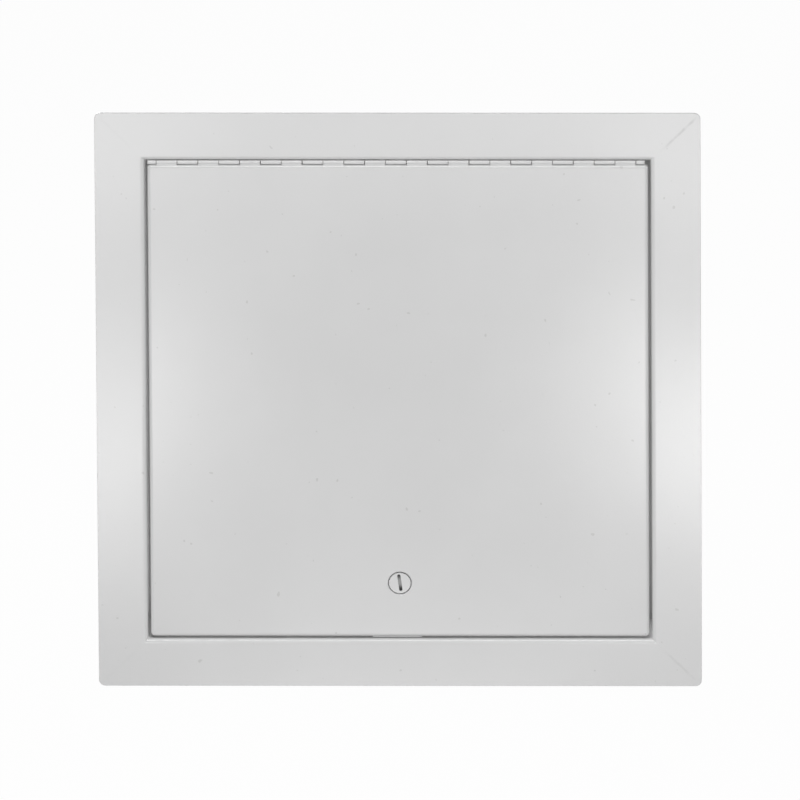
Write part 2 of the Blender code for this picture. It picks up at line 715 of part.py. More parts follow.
def main():
    """Build the whole panel, shut and unlatched."""
    clear_scene()
    painted = make_material("white_powder_coat", (0.68, 0.68, 0.67), 0.4, 0.0)
    weld_metal = make_material("primed_weld", (0.42, 0.42, 0.42), 0.6, 0.3)
    zinc = make_material("zinc_plate", (0.62, 0.63, 0.65), 0.35, 0.9)
    spring_steel = make_material("spring_steel", (0.33, 0.33, 0.35), 0.4, 0.9)
    make_frame(painted, weld_metal)
    make_strike(painted)
    door = make_door(painted)
    door_leaf = make_hinge(painted, spring_steel)
    latch = make_latch(painted, zinc, spring_steel)
    hang_door([door, door_leaf, latch])


main()
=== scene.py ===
"""Looks of the flush steel access panel.

Each piece is a surface worked out from the boxes of the fixed frame's nodes and from the sheet-metal
sizes below. Units are metres: +X right, +Y into the wall, +Z up. Colours are linear.
"""

import json
import math

import bpy
import numpy as np

from mathutils import Matrix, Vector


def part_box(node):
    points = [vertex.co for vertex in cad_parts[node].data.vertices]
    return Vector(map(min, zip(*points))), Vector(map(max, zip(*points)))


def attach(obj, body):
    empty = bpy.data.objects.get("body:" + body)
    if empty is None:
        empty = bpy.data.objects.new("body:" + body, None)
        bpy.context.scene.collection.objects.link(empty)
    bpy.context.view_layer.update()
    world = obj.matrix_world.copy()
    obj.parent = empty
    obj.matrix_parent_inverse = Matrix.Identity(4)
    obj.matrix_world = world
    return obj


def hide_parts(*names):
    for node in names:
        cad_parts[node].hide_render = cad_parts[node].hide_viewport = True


MM = 0.001

# Camera: where the long lens stands, and the point on the panel that it looks at.
CAMERA_AZIMUTH = 1.155
CAMERA_ELEVATION = 18.715
CAMERA_ROLL = -0.33
CAMERA_DISTANCE = 20.341
CAMERA_LENS = 1500.0
CAMERA_AIM = (0.7 * MM, 0.0, -0.2 * MM)

# Lights and stage.
GLEAM_DISTANCE = 1.0
WORLD_LEVEL = 0.175
FLOOR_TONE = 0.8
FLOOR_WHITE = 0.97
FLOOR_REACH = 12.0
FLOOR_DROP = 0.75
# Painted shade: grey of the cards behind the gaps, which darken what the gaps show.
GAP_SHADE_TONE = 0.5
GAP_SHADE_WIDTH = 4.0 * MM
GAP_SHADE_SETBACK = 0.5 * MM
FLAG_TONE = 0.02

# How far the frame leans back from the door, in degrees. Only its gleams show it.
FRAME_LEAN = 0.8

# Sheet metal.
FRAME_SHEET = 1.5 * MM
FRAME_BEND = 3.0 * MM
FLANGE_CORNER = 4.0 * MM
CORNER_BLEND = 8.0 * MM
CUT_EDGE = 0.3 * MM
DOOR_SHEET = 1.5 * MM
DOOR_BEND = 2.2 * MM
DOOR_CORNER = 2.4 * MM
DOOR_NOTCH_START = 3.7 * MM
NOTCH_STEP = 0.12 * MM
SCREW_HOLE = 6.4 * MM
SCREW_SPACING = 200.0 * MM
SCREW_FROM_REAR = 9.0 * MM
STRIKE_BEND = 1.2 * MM
STRIKE_EDGE = 0.2 * MM

# Hinge.
LEAF_SHEET = 0.6 * MM
KNUCKLE = 12.7 * MM
KNUCKLE_GAP = 0.35 * MM
KNUCKLE_SEAM = 20.0
NOTCH_CLEARANCE = 0.6 * MM
KNUCKLE_EDGE = 0.13 * MM
PAINT_FILLET = 1.5 * MM
PAINT_FILM = 0.03 * MM
STAKE_X = -88.5 * MM
STAKE_RADIUS = 1.1 * MM
STAKE_DEPTH = 0.28 * MM
STAKE_RISE = 0.3 * MM
PIN_DOME = 0.5

# Latch.
HEAD_THICKNESS = 2.2 * MM
HEAD_EDGE = 0.4 * MM
HEAD_BACK_EDGE = 0.2 * MM
SEAT = 0.3 * MM
SHANK_RADIUS = 3.15 * MM
SHANK_CLEARANCE = 0.3 * MM
TIP_LENGTH = 0.4 * MM
TIP_EASE = 0.1 * MM
TIP_CHAMFER = 0.6 * MM
SLOT_LENGTH = 10.8 * MM
SLOT_WIDTH = 2.0 * MM
SLOT_LEAN = 7.7
SLOT_RISE = 0.4 * MM
SLOT_END_DEPTH = 1.5 * MM
SLOT_MIDDLE_DEPTH = 1.0 * MM
SLOT_SLOPE = (0.263, 0.789)
SLOT_SHOULDER = 0.15 * MM
SLOT_REACH = 0.998
DIMPLE_CLEARANCE = 0.55 * MM
DIMPLE_RIM = 0.8 * MM
DIMPLE_FILLET = 0.4 * MM
CUP_FLARE = 0.4 * MM
CUP_CORNER = 1.2 * MM
HOLE_EDGE = 0.15 * MM
THREAD_PITCH = 1.27 * MM
THREAD_DEPTH = 0.35 * MM
SHANK_FLATS = 5.0 * MM
SPRING_WIRE = 1.0 * MM
SPRING_TURNS = 3.1
CLOSED_TURNS = 0.7
CLOSED_PITCH = 1.04 * SPRING_WIRE
CAM_TIP_WIDTH = 10.0 * MM
HARDWARE_EDGE = 0.25 * MM
NUT_CHAMFER = 0.6 * MM
NUT_FACE_INSET = 0.2 * MM
NUT_CORNER_SPARE = 0.05 * MM
NUT_BORE_CHAMFER = 0.4 * MM
SPLIT_ANGLE = 16.0
SPLIT_EDGE = 0.12 * MM

# Weld beads.
BEAD_LEG = 2.6 * MM
BEAD_CROWN = 0.7 * MM
BEAD_RIPPLE = 1.5 * MM
BEAD_SIZE = 0.88
BEAD_SWELL = 0.1
BEAD_TAPER = 0.92157
BEAD_END = 0.05

# Meshes: how far a cutting shape runs past the metal, the radius of the ring round an end's middle,
# the steps of a bend, and the turn past which an edge is sharp or is eased.
CUT_MARGIN = 2.0 * MM
AXIS_RADIUS = 0.02 * MM
BEND_STEPS = 10
SHARP_ANGLE = 32.0
EASED_ANGLE = 50.0

# Finishes: linear colours, and how many noise features there are to a metre.
COAT_LIGHT = (0.69, 0.69, 0.69, 1.0)
COAT_DULL = (0.675, 0.675, 0.675, 1.0)
COAT_SPECK = (0.50, 0.50, 0.49, 1.0)
# Painted shade: near-black colour for the inside of the latch stud's slot.
SLOT_SHADE = (0.03, 0.03, 0.03, 1.0)
MITRE_SMEAR = (0.42, 0.42, 0.42, 1.0)
ZINC_BLUE = (0.60, 0.63, 0.68, 1.0)
ZINC_STRAW = (0.72, 0.70, 0.62, 1.0)
STEEL_DARK = (0.16, 0.16, 0.17, 1.0)
STEEL_LIGHT = (0.27, 0.26, 0.25, 1.0)
BEAD_DARK = (0.30, 0.30, 0.30, 1.0)
BEAD_LIGHT = (0.55, 0.55, 0.54, 1.0)
DRIFT_SCALE = 14.0
PEEL_SCALE = 620.0
GRAIN_SCALE = 2600.0
SPECK_SCALE = 330.0
WAVE_SCALE = 9.0
PEEL_DEPTH = 0.03 * MM
PLATE_DEPTH = 0.02 * MM
GRIT_DEPTH = 0.06 * MM
WAVE_DEPTH = 0.3 * MM

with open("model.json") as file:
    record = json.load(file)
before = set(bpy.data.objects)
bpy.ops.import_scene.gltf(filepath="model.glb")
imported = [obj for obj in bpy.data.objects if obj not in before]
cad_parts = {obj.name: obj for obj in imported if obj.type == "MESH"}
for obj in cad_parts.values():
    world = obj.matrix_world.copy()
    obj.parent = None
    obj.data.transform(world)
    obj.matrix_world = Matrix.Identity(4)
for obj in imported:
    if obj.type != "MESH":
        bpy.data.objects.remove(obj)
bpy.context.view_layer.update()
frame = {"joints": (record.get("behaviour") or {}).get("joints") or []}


def node_box(name):
    """Lowest and highest corner of a node, as arrays."""
    low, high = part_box(name)
    return np.array(low), np.array(high)


TOP_LOW, TOP_HIGH = node_box("frame_top_rail")
RIGHT_LOW = node_box("frame_right_stile")[0]
DOOR_LOW, DOOR_HIGH = node_box("door_panel")
STUD_LOW, STUD_HIGH = node_box("latch_stud")
LEAF_LOW, LEAF_HIGH = node_box("hinge_frame_leaf")
DOOR_LEAF_LOW, DOOR_LEAF_HIGH = node_box("hinge_door_leaf")
JOINT_PLACES = {joint["name"]: joint["pos_m"] for joint in frame["joints"]}

FACE_Y = TOP_LOW[1]
REAR_Y = TOP_HIGH[1]
HALF_WIDTH = RIGHT_LOW[0]
HALF_HEIGHT = TOP_LOW[2]
FLANGE = TOP_HIGH[2] - TOP_LOW[2]
HINGE_Y, HINGE_Z = JOINT_PLACES["door_hinge"][1:]
LATCH_X, LATCH_Z = JOINT_PLACES["latch_turn"][0], JOINT_PLACES["latch_turn"][2]
BARREL_RADIUS = LEAF_HIGH[2] - HINGE_Z
LATCH_PLACE = np.array([LATCH_X, LATCH_Z])
HEAD_RADIUS = (STUD_HIGH[0] - STUD_LOW[0]) / 2


# Meshes from arrays.

def grid_faces(rows, columns, closed_rows=False, closed_columns=False):
    """The four corners of each cell of a grid of points, which wraps round where it is closed."""
    row = np.arange(rows if closed_rows else rows - 1)[:, None]
    column = np.arange(columns if closed_columns else columns - 1)[None, :]
    next_row = (row + 1) % rows
    next_column = (column + 1) % columns
    corners = (
        row * columns + column,
        row * columns + next_column,
        next_row * columns + next_column,
        next_row * columns + column,
    )
    return np.stack(corners, axis=-1).reshape(-1, 4).tolist()


def point_outwards(mesh):
    """Turn a closed mesh's faces round if the volume that they enclose comes out negative."""
    mesh.calc_loop_triangles()
    corners = np.zeros(len(mesh.loop_triangles) * 3, int)
    mesh.loop_triangles.foreach_get("vertices", corners)
    points = np.zeros(len(mesh.vertices) * 3)
    mesh.vertices.foreach_get("co", points)
    first, second, third = points.reshape(-1, 3)[corners.reshape(-1, 3)].transpose(1, 0, 2)
    if np.sum(first * np.cross(second, third)) < 0:
        mesh.flip_normals()


def shade(mesh, sharp_angle):
    """Smooth shading with an edge kept sharp where the surface turns more than an angle."""
    mesh.shade_smooth()
    mesh.set_sharp_from_angle(angle=math.radians(sharp_angle))


def solid(name, points, faces, sharp_angle=SHARP_ANGLE):
    """A closed mesh object in its place, from an array of points and a list of faces."""
    mesh = bpy.data.meshes.new(name)
    mesh.from_pydata(points.reshape(-1, 3).tolist(), [], faces)
    point_outwards(mesh)
    shade(mesh, sharp_angle)
    item = bpy.data.objects.new(name, mesh)
    bpy.context.scene.collection.objects.link(item)
    return item


def swept(name, rings, sharp_angle=SHARP_ANGLE):
    """A closed outline carried through rings[station, point, xyz], with a flat cap at each end."""
    stations, count = rings.shape[:2]
    faces = grid_faces(stations, count, closed_columns=True)
    faces.append(list(range(count))[::-1])
    faces.append(list(range((stations - 1) * count, stations * count)))
    return solid(name, rings, faces, sharp_angle)


def ring_shaped(name, rings, sharp_angle=SHARP_ANGLE):
    """A closed outline carried right round until it meets itself, as on a washer."""
    faces = grid_faces(*rings.shape[:2], closed_rows=True, closed_columns=True)
    return solid(name, rings, faces, sharp_angle)


def applied(item):
    """Apply the object's modifiers to its mesh."""
    graph = bpy.context.evaluated_depsgraph_get()
    mesh = bpy.data.meshes.new_from_object(item.evaluated_get(graph))
    item.modifiers.clear()
    item.data = mesh
    return item


def flats_kept_flat(item):
    """Give each vertex the normal of its largest face, so that bends don't tint the flats beside them."""
    step = item.modifiers.new("larger faces first", "WEIGHTED_NORMAL")
    step.mode = "FACE_AREA"
    step.weight = 80
    step.keep_sharp = True
    return applied(item)


def carved(item, cutter):
    """Take one closed object out of another, and remove the one that cuts."""
    step = item.modifiers.new("carve", "BOOLEAN")
    step.object = cutter
    step.operation = "DIFFERENCE"
    step.solver = "EXACT"
    applied(item)
    shade(item.data, SHARP_ANGLE)
    bpy.data.objects.remove(cutter)
    return item


def edges_eased(item, width):
    """Round every edge that turns more than EASED_ANGLE."""
    step = item.modifiers.new("eased edges", "BEVEL")
    step.width = width
    step.segments = 2
    step.limit_method = "ANGLE"
    step.angle_limit = math.radians(EASED_ANGLE)
    step.use_clamp_overlap = True
    applied(item)
    shade(item.data, SHARP_ANGLE)
    return item


# Outlines in a plane, as arrays of points.

def arc(centre, radius, start, end, steps):
    """Centre plus radius times (cosine, sine) of evenly spaced angles, in degrees."""
    angles = np.radians(np.linspace(start, end, steps + 1))
    return np.array(centre) + radius * np.stack([np.cos(angles), np.sin(angles)], axis=-1)


def softened(corners, radii, steps):
    """A closed outline, each corner replaced by the arc of a radius that touches both its sides."""
    corners = np.array(corners, float)
    stretches = []
    for before, corner, after, radius in zip(np.roll(corners, 1, 0), corners, np.roll(corners, -1, 0), radii):
        if radius == 0:
            stretches.append(corner[None])
            continue
        back = (before - corner) / np.linalg.norm(before - corner)
        ahead = (after - corner) / np.linalg.norm(after - corner)
        half = math.acos(np.clip(back @ ahead, -1, 1)) / 2
        middle = (back + ahead) / np.linalg.norm(back + ahead)
        centre = corner + middle * radius / math.sin(half)
        reach = radius / math.tan(half)
        first = corner + back * reach - centre
        last = corner + ahead * reach - centre
        turn = math.pi - 2 * half
        share = np.linspace(0, 1, steps + 1)[:, None]
        sides = np.sin((1 - share) * turn) * first + np.sin(share * turn) * last
        stretches.append(centre + sides / math.sin(turn))
    return np.concatenate(stretches)


def along_x(outline, stations):
    """An outline of (y, z) points repeated at each x."""
    rings = np.zeros((len(stations), len(outline), 3))
    rings[:, :, 0] = np.array(stations)[:, None]
    rings[:, :, 1:] = outline
    return rings


def placed(flat, y):
    """A ring of (x, z) points at one depth, or at a depth for each point."""
    return np.stack([flat[:, 0], np.broadcast_to(y, len(flat)), flat[:, 1]], axis=-1)


def turned(profile, steps, centre):
    """A profile of (y, radius) points carried round an axis along Y: x and z follow a circle."""
    angles = np.linspace(0, 2 * math.pi, steps, endpoint=False)
    profile = np.array(profile)
    rings = np.zeros((steps, len(profile), 3))
    rings[:, :, 0] = centre[0] + np.outer(np.cos(angles), profile[:, 1])
    rings[:, :, 1] = profile[:, 0]
    rings[:, :, 2] = centre[1] + np.outer(np.sin(angles), profile[:, 1])
    return rings


def block(low, high):
    """A plain box that only cuts."""
    outline = np.array([(low[1], low[2]), (high[1], low[2]), (high[1], high[2]), (low[1], high[2])])
    return swept("block", along_x(outline, (low[0], high[0])))


# Frame.

def rail_section():
    """The angle section as (y, distance out from the opening): flange, bend, return, cut edges."""
    corners = [
        (FACE_Y, FLANGE),
        (FACE_Y, 0.0),
        (REAR_Y, 0.0),
        (REAR_Y, FRAME_SHEET),
        (FACE_Y + FRAME_SHEET, FRAME_SHEET),
        (FACE_Y + FRAME_SHEET, FLANGE),
    ]
    inner_bend = FRAME_BEND - FRAME_SHEET
    radii = [CUT_EDGE, FRAME_BEND, CUT_EDGE, CUT_EDGE, inner_bend, CUT_EDGE]
    return softened(corners, radii, BEND_STEPS)


def flange_edge(half_span):
    """The flange's outer edge as (along, out) points: straight, with half of a corner arc at each end."""
    straight = half_span + FLANGE - FLANGE_CORNER
    corner = arc((straight, FLANGE - FLANGE_CORNER), FLANGE_CORNER, 45.0, 90.0, 8)
    middle = np.stack([np.linspace(straight, -straight, 33), np.full(33, FLANGE)], axis=-1)
    mirrored = corner[::-1] * (-1, 1)
    return np.concatenate([corner[:-1], middle, mirrored[1:]])


def rail_rings(half_opening, half_span):
    """The section carried along a side of the opening, mitred at both ends.

    A point at distance out lies at share * (half_span + out) along the side, where share runs from
    1 to -1 with the length of the outer edge. Within CORNER_BLEND of that edge it slides over to
    the rounded edge line.
    """
    section = rail_section()
    edge = flange_edge(half_span)
    lengths = np.concatenate([[0], np.cumsum(np.linalg.norm(np.diff(edge, axis=0), axis=1))])
    share = 1 - 2 * lengths / lengths[-1]
    y, out = section[:, 0], section[:, 1]
    inner = FLANGE - CORNER_BLEND
    blend = np.clip((out - inner) / CORNER_BLEND, 0, 1)[None, :]
    plain = np.minimum(out, inner)[None, :]
    along = share[:, None] * (half_span + plain) * (1 - blend) + edge[:, :1] * blend
    outward = plain * (1 - blend) + edge[:, 1:] * blend
    return np.stack([along, np.broadcast_to(y, along.shape), half_opening + outward], axis=-1)


def turned_about_y(points, quarters):
    """Points turned by quarter turns about the Y axis, the first one taking the top to the right."""
    x, y, z = np.moveaxis(points, -1, 0)
    for _ in range(quarters):
        x, z = z, -x
    return np.stack([x, y, z], axis=-1)


def screw_hole(along, quarters, half_opening):
    """A cylinder that cuts a hole through one return."""
    circle = arc((along, REAR_Y - SCREW_FROM_REAR), SCREW_HOLE / 2, 0.0, 360.0, 32)[:-1]
    rings = np.zeros((2, len(circle), 3))
    rings[:, :, :2] = circle
    rings[:, :, 2] = half_opening + np.array([[-CUT_MARGIN], [FRAME_SHEET + CUT_MARGIN]])
    return swept("screw_hole_cutter", turned_about_y(rings, quarters))


def make_rail(name, node, quarters, half_opening, half_span):
    """One mitred side of the frame with its two screw holes."""
    rail = swept(name, turned_about_y(rail_rings(half_opening, half_span), quarters))
    for along in (-SCREW_SPACING / 2, SCREW_SPACING / 2):
        carved(rail, screw_hole(along, quarters, half_opening))
    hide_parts(node)
    return rail


def make_frame():
    """The four sides."""
    return [
        make_rail("top_rail", "frame_top_rail", 0, HALF_HEIGHT, HALF_WIDTH),
        make_rail("right_stile", "frame_right_stile", 1, HALF_WIDTH, HALF_HEIGHT),
        make_rail("bottom_rail", "frame_bottom_rail", 2, HALF_HEIGHT, HALF_WIDTH),
        make_rail("left_stile", "frame_left_stile", 3, HALF_WIDTH, HALF_HEIGHT),
    ]


def make_bead(name, node, side_x, side_z):
    """A weld bead over the corner of two returns: a crescent whose crown swells at each ripple.

    The outline is scaled about the corner by BEAD_SIZE, plus BEAD_SWELL times a power of |sin| of
    the place along the bead, plus a slow wander. Both ends taper off like a quarter of an ellipse.
    """
    low, high = node_box(node)
    length = high[1] - low[1]
    half_chord = BEAD_LEG / math.sqrt(2)
    rise = half_chord + BEAD_CROWN
    radius = (half_chord**2 + rise**2) / (2 * rise)
    middle = (rise - radius - half_chord) / math.sqrt(2)
    reach = 180.0 - math.degrees(math.asin(half_chord / radius))
    crown = arc((middle, middle), radius, 45.0 - reach, 45.0 + reach, 16)
    outline = np.concatenate([[(0.0, 0.0)], crown])
    places = np.linspace(0, 1, 121)
    ripple = np.abs(np.sin(math.pi * places * length / BEAD_RIPPLE)) ** 0.6
    wander = 0.03 * np.sin(places * 23.0) + 0.02 * np.sin(places * 51.0 + 1.0)
    past = np.clip((np.abs(2 * places - 1) - BEAD_TAPER) / (1 - BEAD_TAPER), 0, 1)
    size = (BEAD_SIZE + BEAD_SWELL * ripple + wander) * np.sqrt(np.maximum(1 - past**2, BEAD_END))
    corner = np.array([high[0] if side_x > 0 else -low[0], high[2] if side_z > 0 else -low[2]])
    corner = corner - (middle + radius)
    rings = np.zeros((len(places), len(outline), 3))
    rings[:, :, 0] = side_x * (corner[0] + size[:, None] * outline[:, 0])
    rings[:, :, 1] = (low[1] + places * length)[:, None]
    rings[:, :, 2] = side_z * (corner[1] + size[:, None] * outline[:, 1])
    bead = swept(name, rings, 50.0)
    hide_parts(node)
    return bead


def make_beads():
    """The four corner beads."""
    beads = []
    for upright, side_z in (("top", 1), ("bottom", -1)):
        for across, side_x in (("left", -1), ("right", 1)):
            name = f"{upright}_{across}_bead"
            beads.append(make_bead(name, f"corner_weld_{upright}_{across}", side_x, side_z))
    return beads


def make_strike():
    """The folded strip behind the door's bottom edge: foot on the return, lip upright.

    Its lip stands as far behind the door as its foot stands off the return.
    """
    low, high = node_box("strike")
    thickness = high[1] - DOOR_HIGH[1] - (low[2] + HALF_HEIGHT)
    corners = [
        (low[1], low[2]),
        (high[1], low[2]),
        (high[1], high[2]),
        (high[1] - thickness, high[2]),
        (high[1] - thickness, low[2] + thickness),
        (low[1], low[2] + thickness),
    ]
    outline = softened(corners, [0, STRIKE_BEND, 0, 0, STRIKE_BEND - thickness, 0], 8)
    strip = swept("strike_strip", along_x(outline, (low[0], high[0])))
    edges_eased(strip, STRIKE_EDGE)
    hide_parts("strike")
    return strip


# Hinge.

def knuckle_joints():
    """The x of each joint between knuckles: whole ones fill the middle, and both ends share the rest."""
    start = min(LEAF_LOW[0], DOOR_LEAF_LOW[0])
    end = max(LEAF_HIGH[0], DOOR_LEAF_HIGH[0])
    whole = int((end - start) // KNUCKLE)
    first = start + (end - start - whole * KNUCKLE) / 2
    return np.concatenate([[start], first + np.arange(whole + 1) * KNUCKLE, [end]])


def rolled_section(leaf_end, side, foot=None):
    """A leaf's (y, z) outline: flat, then rolled round the pin until just short of the leaf.

    A foot is what stands before the roll in the outline, and the angle at which the roll starts.
    """
    foot, start = foot or ([(0.0, BARREL_RADIUS)], 90.0)
    outer = arc((0, 0), BARREL_RADIUS, start, 360.0 + KNUCKLE_SEAM, 36)
    inner = arc((0, 0), BARREL_RADIUS - LEAF_SHEET, 360.0 + KNUCKLE_SEAM, 90.0, 36)
    depth = leaf_end - HINGE_Y
    near, far = (depth, BARREL_RADIUS), (depth, BARREL_RADIUS - LEAF_SHEET)
    outline = np.concatenate([[near], foot, outer, inner, [far]])
    return np.array([HINGE_Y, HINGE_Z]) + outline * (1, side)


def painted_foot():
    """Where paint fills the crevice between a knuckle and the door's bend: a hollow arc that touches both.

    Its centre is where a circle about the pin and one about the bend's centre cross, both larger by
    the fillet's radius. Heights are counted downwards from the pin.
    """
    bend = np.array([FACE_Y + DOOR_BEND - HINGE_Y, HINGE_Z - DOOR_HIGH[2] + DOOR_BEND])
    film = DOOR_BEND + PAINT_FILM
    to_bend = np.linalg.norm(bend)
    near, far = BARREL_RADIUS + PAINT_FILLET, film + PAINT_FILLET
    along = (to_bend**2 + near**2 - far**2) / (2 * to_bend)
    across = math.sqrt(near**2 - along**2)
    direction = bend / to_bend
    centre = along * direction + across * np.array([-direction[1], direction[0]])
    on_barrel = math.degrees(math.atan2(centre[1], centre[0]))
    from_bend = centre - bend
    on_bend = math.degrees(math.atan2(from_bend[1], from_bend[0]))
    over_bend = arc(bend, film, -90.0, on_bend, 6)
    hollow = arc(centre, PAINT_FILLET, on_bend + 180.0, on_barrel - 180.0, 10)[1:-1]
    return np.concatenate([[(bend[0], BARREL_RADIUS)], over_bend, hollow]), on_barrel


def knuckle_gap(index):
    """The gap at a joint between knuckles: none is narrower than the CAD model's, and they vary."""
    return KNUCKLE_GAP * (1.35 + 0.35 * math.sin(2.4 * index + 1.0))


def make_leaf(name, node, leaf_end, side, first_notch, foot=None):
    """A rolled leaf, notched where the other leaf's knuckles stand, with eased edges."""
    joints = knuckle_joints()
    leaf = swept(name, along_x(rolled_section(leaf_end, side, foot), (joints[0], joints[-1])))
    reach = BARREL_RADIUS + CUT_MARGIN
    last = len(joints) - 2
    for index in range(first_notch, last + 1, 2):
        past_start = CUT_MARGIN if index == 0 else knuckle_gap(index) / 2
        past_end = CUT_MARGIN if index == last else knuckle_gap(index + 1) / 2
        low = (joints[index] - past_start, HINGE_Y - reach, HINGE_Z - reach)
        high = (joints[index + 1] + past_end, HINGE_Y + BARREL_RADIUS + NOTCH_CLEARANCE, HINGE_Z + reach)
        carved(leaf, block(low, high))
    edges_eased(leaf, KNUCKLE_EDGE)
    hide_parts(node)
    return leaf


def stake_cutter():
    """The ball that leaves the dent which stakes one knuckle to the pin."""
    profile = arc((0, 0), STAKE_RADIUS, 179.0, 1.0, 12)
    centre_y = HINGE_Y - BARREL_RADIUS - STAKE_RADIUS + STAKE_DEPTH
    rings = np.swapaxes(turned(profile, 24, (STAKE_X, HINGE_Z + STAKE_RISE)), 0, 1)
    rings[:, :, 1] += centre_y
    return swept("stake_cutter", rings)


def make_pin():
    """The hinge's pin, both ends peened into low domes."""
    low, high = node_box("hinge_pin")
    radius = (high[2] - low[2]) / 2
    dome = arc((0, 0), radius, 90.0, 5.0, 8) * (PIN_DOME, 1.0)
    start = np.stack([low[0] + PIN_DOME * radius - dome[::-1, 0], dome[::-1, 1]], axis=-1)
    end = np.stack([high[0] - PIN_DOME * radius + dome[:, 0], dome[:, 1]], axis=-1)
    profile = np.concatenate([start, end])
    angles = np.linspace(0, 2 * math.pi, 24, endpoint=False)
    rings = np.zeros((len(profile), len(angles), 3))
    rings[:, :, 0] = profile[:, :1]
    rings[:, :, 1] = HINGE_Y + np.outer(profile[:, 1], np.cos(angles))
    rings[:, :, 2] = HINGE_Z + np.outer(profile[:, 1], np.sin(angles))
    pin = swept("pin", rings)
    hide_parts("hinge_pin")
    return pin


# Door.

def door_outline():
    """Where rays from the latch meet the door's outline, as centres and outward normals.

    A point of the outline inset by d is centre + (DOOR_CORNER - d) * normal. Each side is sampled at
    equal angles seen from the latch and each corner by an arc about its centre. The last array is 1
    on the sides and 0 on the corners.
    """
    half = (DOOR_HIGH[0] - DOOR_LOW[0]) / 2 - DOOR_CORNER
    top = DOOR_HIGH[2] - DOOR_CORNER
    bottom = DOOR_LOW[2] + DOOR_CORNER
    corners = [(half, bottom), (half, top), (-half, top), (-half, bottom)]
    centres, normals, turned_edge = [], [], []
    for index, start in enumerate(corners):
        end = corners[(index + 1) % 4]
        direction = np.radians(90.0 * index)
        normal = np.array([math.cos(direction), math.sin(direction)])
        side = np.array([-normal[1], normal[0]])
        arrive = arc((0, 0), 1.0, 90.0 * (index - 1), 90.0 * index, 8)
        centres.append(np.tile(start, (len(arrive), 1)))
        normals.append(arrive)
        turned_edge.append(np.zeros(len(arrive)))
        from_latch = np.array(start) - LATCH_PLACE
        to_end = np.array(end) - LATCH_PLACE
        distance = from_latch @ normal
        angles = np.arctan2([from_latch @ side, to_end @ side], distance)
        count = max(8, int(math.degrees(angles[1] - angles[0]) / 2.5))
        along = distance * np.tan(np.linspace(*angles, count + 1))
        step = np.array([NOTCH_STEP, 2 * NOTCH_STEP])
        along = np.concatenate([along[:1] + step, along[1:-1], along[-1:] - step[::-1]])
        places = LATCH_PLACE + distance * normal + along[:, None] * side
        centres.append(places)
        normals.append(np.tile(normal, (len(places), 1)))
        turned_edge.append(np.ones(len(places)))
    return np.concatenate(centres), np.concatenate(normals), np.concatenate(turned_edge)


def door_rings():
    """The pan as one closed section carried round the latch.

    Rings run from the dimple's rim out over the face, round the bend, along the turned edge, back
    inside it, over the back of the face, and through the dimple to where they began. Between the
    dimple's circle and the door's outline a ring is a blend of the two.
    """
    centres, normals, turned_edge = door_outline()
    sight = centres + DOOR_CORNER * normals - LATCH_PLACE
    sight = sight / np.linalg.norm(sight, axis=1)[:, None]
    bend_y = FACE_Y + DOOR_BEND
    rear = np.where(turned_edge > 0.5, DOOR_HIGH[1], FACE_Y + DOOR_NOTCH_START)
    dimple = HEAD_RADIUS + DIMPLE_CLEARANCE
    floor = FACE_Y + HEAD_THICKNESS + SEAT
    hole = SHANK_RADIUS + SHANK_CLEARANCE + HOLE_EDGE
    cup, cup_floor = dimple + DOOR_SHEET, floor + DOOR_SHEET
    outwards = np.linspace(0, 1, 16)[1:-1] ** 1.6

    def inset_outline(inset):
        return centres + (DOOR_CORNER - inset) * normals

    def outlines(profile, y=0.0):
        return [(inset_outline(inset), y + depth) for depth, inset in profile]

    def circles(profile):
        return [(LATCH_PLACE + radius * sight, depth) for depth, radius in profile]

    def blends(radius, y, shares):
        circle, outline = LATCH_PLACE + radius * sight, inset_outline(DOOR_BEND)
        return [((1 - share) * circle + share * outline, y) for share in shares]

    def straights(inset, shares):
        depths = [(1 - share) * bend_y + share * (rear - CUT_EDGE) for share in shares]
        return [(inset_outline(inset), depth) for depth in depths]

    rings = blends(dimple + DIMPLE_RIM, FACE_Y, [0.0, *outwards])
    rings += outlines(arc((bend_y, DOOR_BEND), DOOR_BEND, 180.0, 270.0, BEND_STEPS))
    rings += straights(0.0, np.linspace(0.15, 1.0, 6))
    rings += outlines(arc((-CUT_EDGE, CUT_EDGE), CUT_EDGE, 270.0, 360.0, 4)[1:], rear)
    rings += outlines(arc((-CUT_EDGE, DOOR_SHEET - CUT_EDGE), CUT_EDGE, 0.0, 90.0, 4), rear)
    rings += straights(DOOR_SHEET, np.linspace(1.0, 0.0, 6)[1:])
    rings += outlines(arc((bend_y, DOOR_BEND), DOOR_BEND - DOOR_SHEET, 270.0, 180.0, 6)[1:])
    rings += blends(cup + CUP_FLARE, FACE_Y + DOOR_SHEET, outwards[::-1])
    rings += circles(arc((FACE_Y + DOOR_SHEET + CUP_FLARE, cup + CUP_FLARE), CUP_FLARE, 180.0, 270.0, 4))
    rings += circles(arc((cup_floor - CUP_CORNER, cup - CUP_CORNER), CUP_CORNER, 90.0, 0.0, 8))
    rings += circles(arc((cup_floor - HOLE_EDGE, hole), HOLE_EDGE, 0.0, -90.0, 3))
    rings += circles(arc((floor + HOLE_EDGE, hole), HOLE_EDGE, 270.0, 180.0, 3))
    rings += circles(arc((floor - DIMPLE_FILLET, dimple - DIMPLE_FILLET), DIMPLE_FILLET, 0.0, 90.0, 5))
    rings += circles(arc((FACE_Y + DIMPLE_RIM, dimple + DIMPLE_RIM), DIMPLE_RIM, 270.0, 180.0, 8)[:-1])
    return np.array([placed(flat, y) for flat, y in rings])


def make_door():
    """The pressed door."""
    door = ring_shaped("door_skin", door_rings())
    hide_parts("door_panel")
    return door


# Latch.

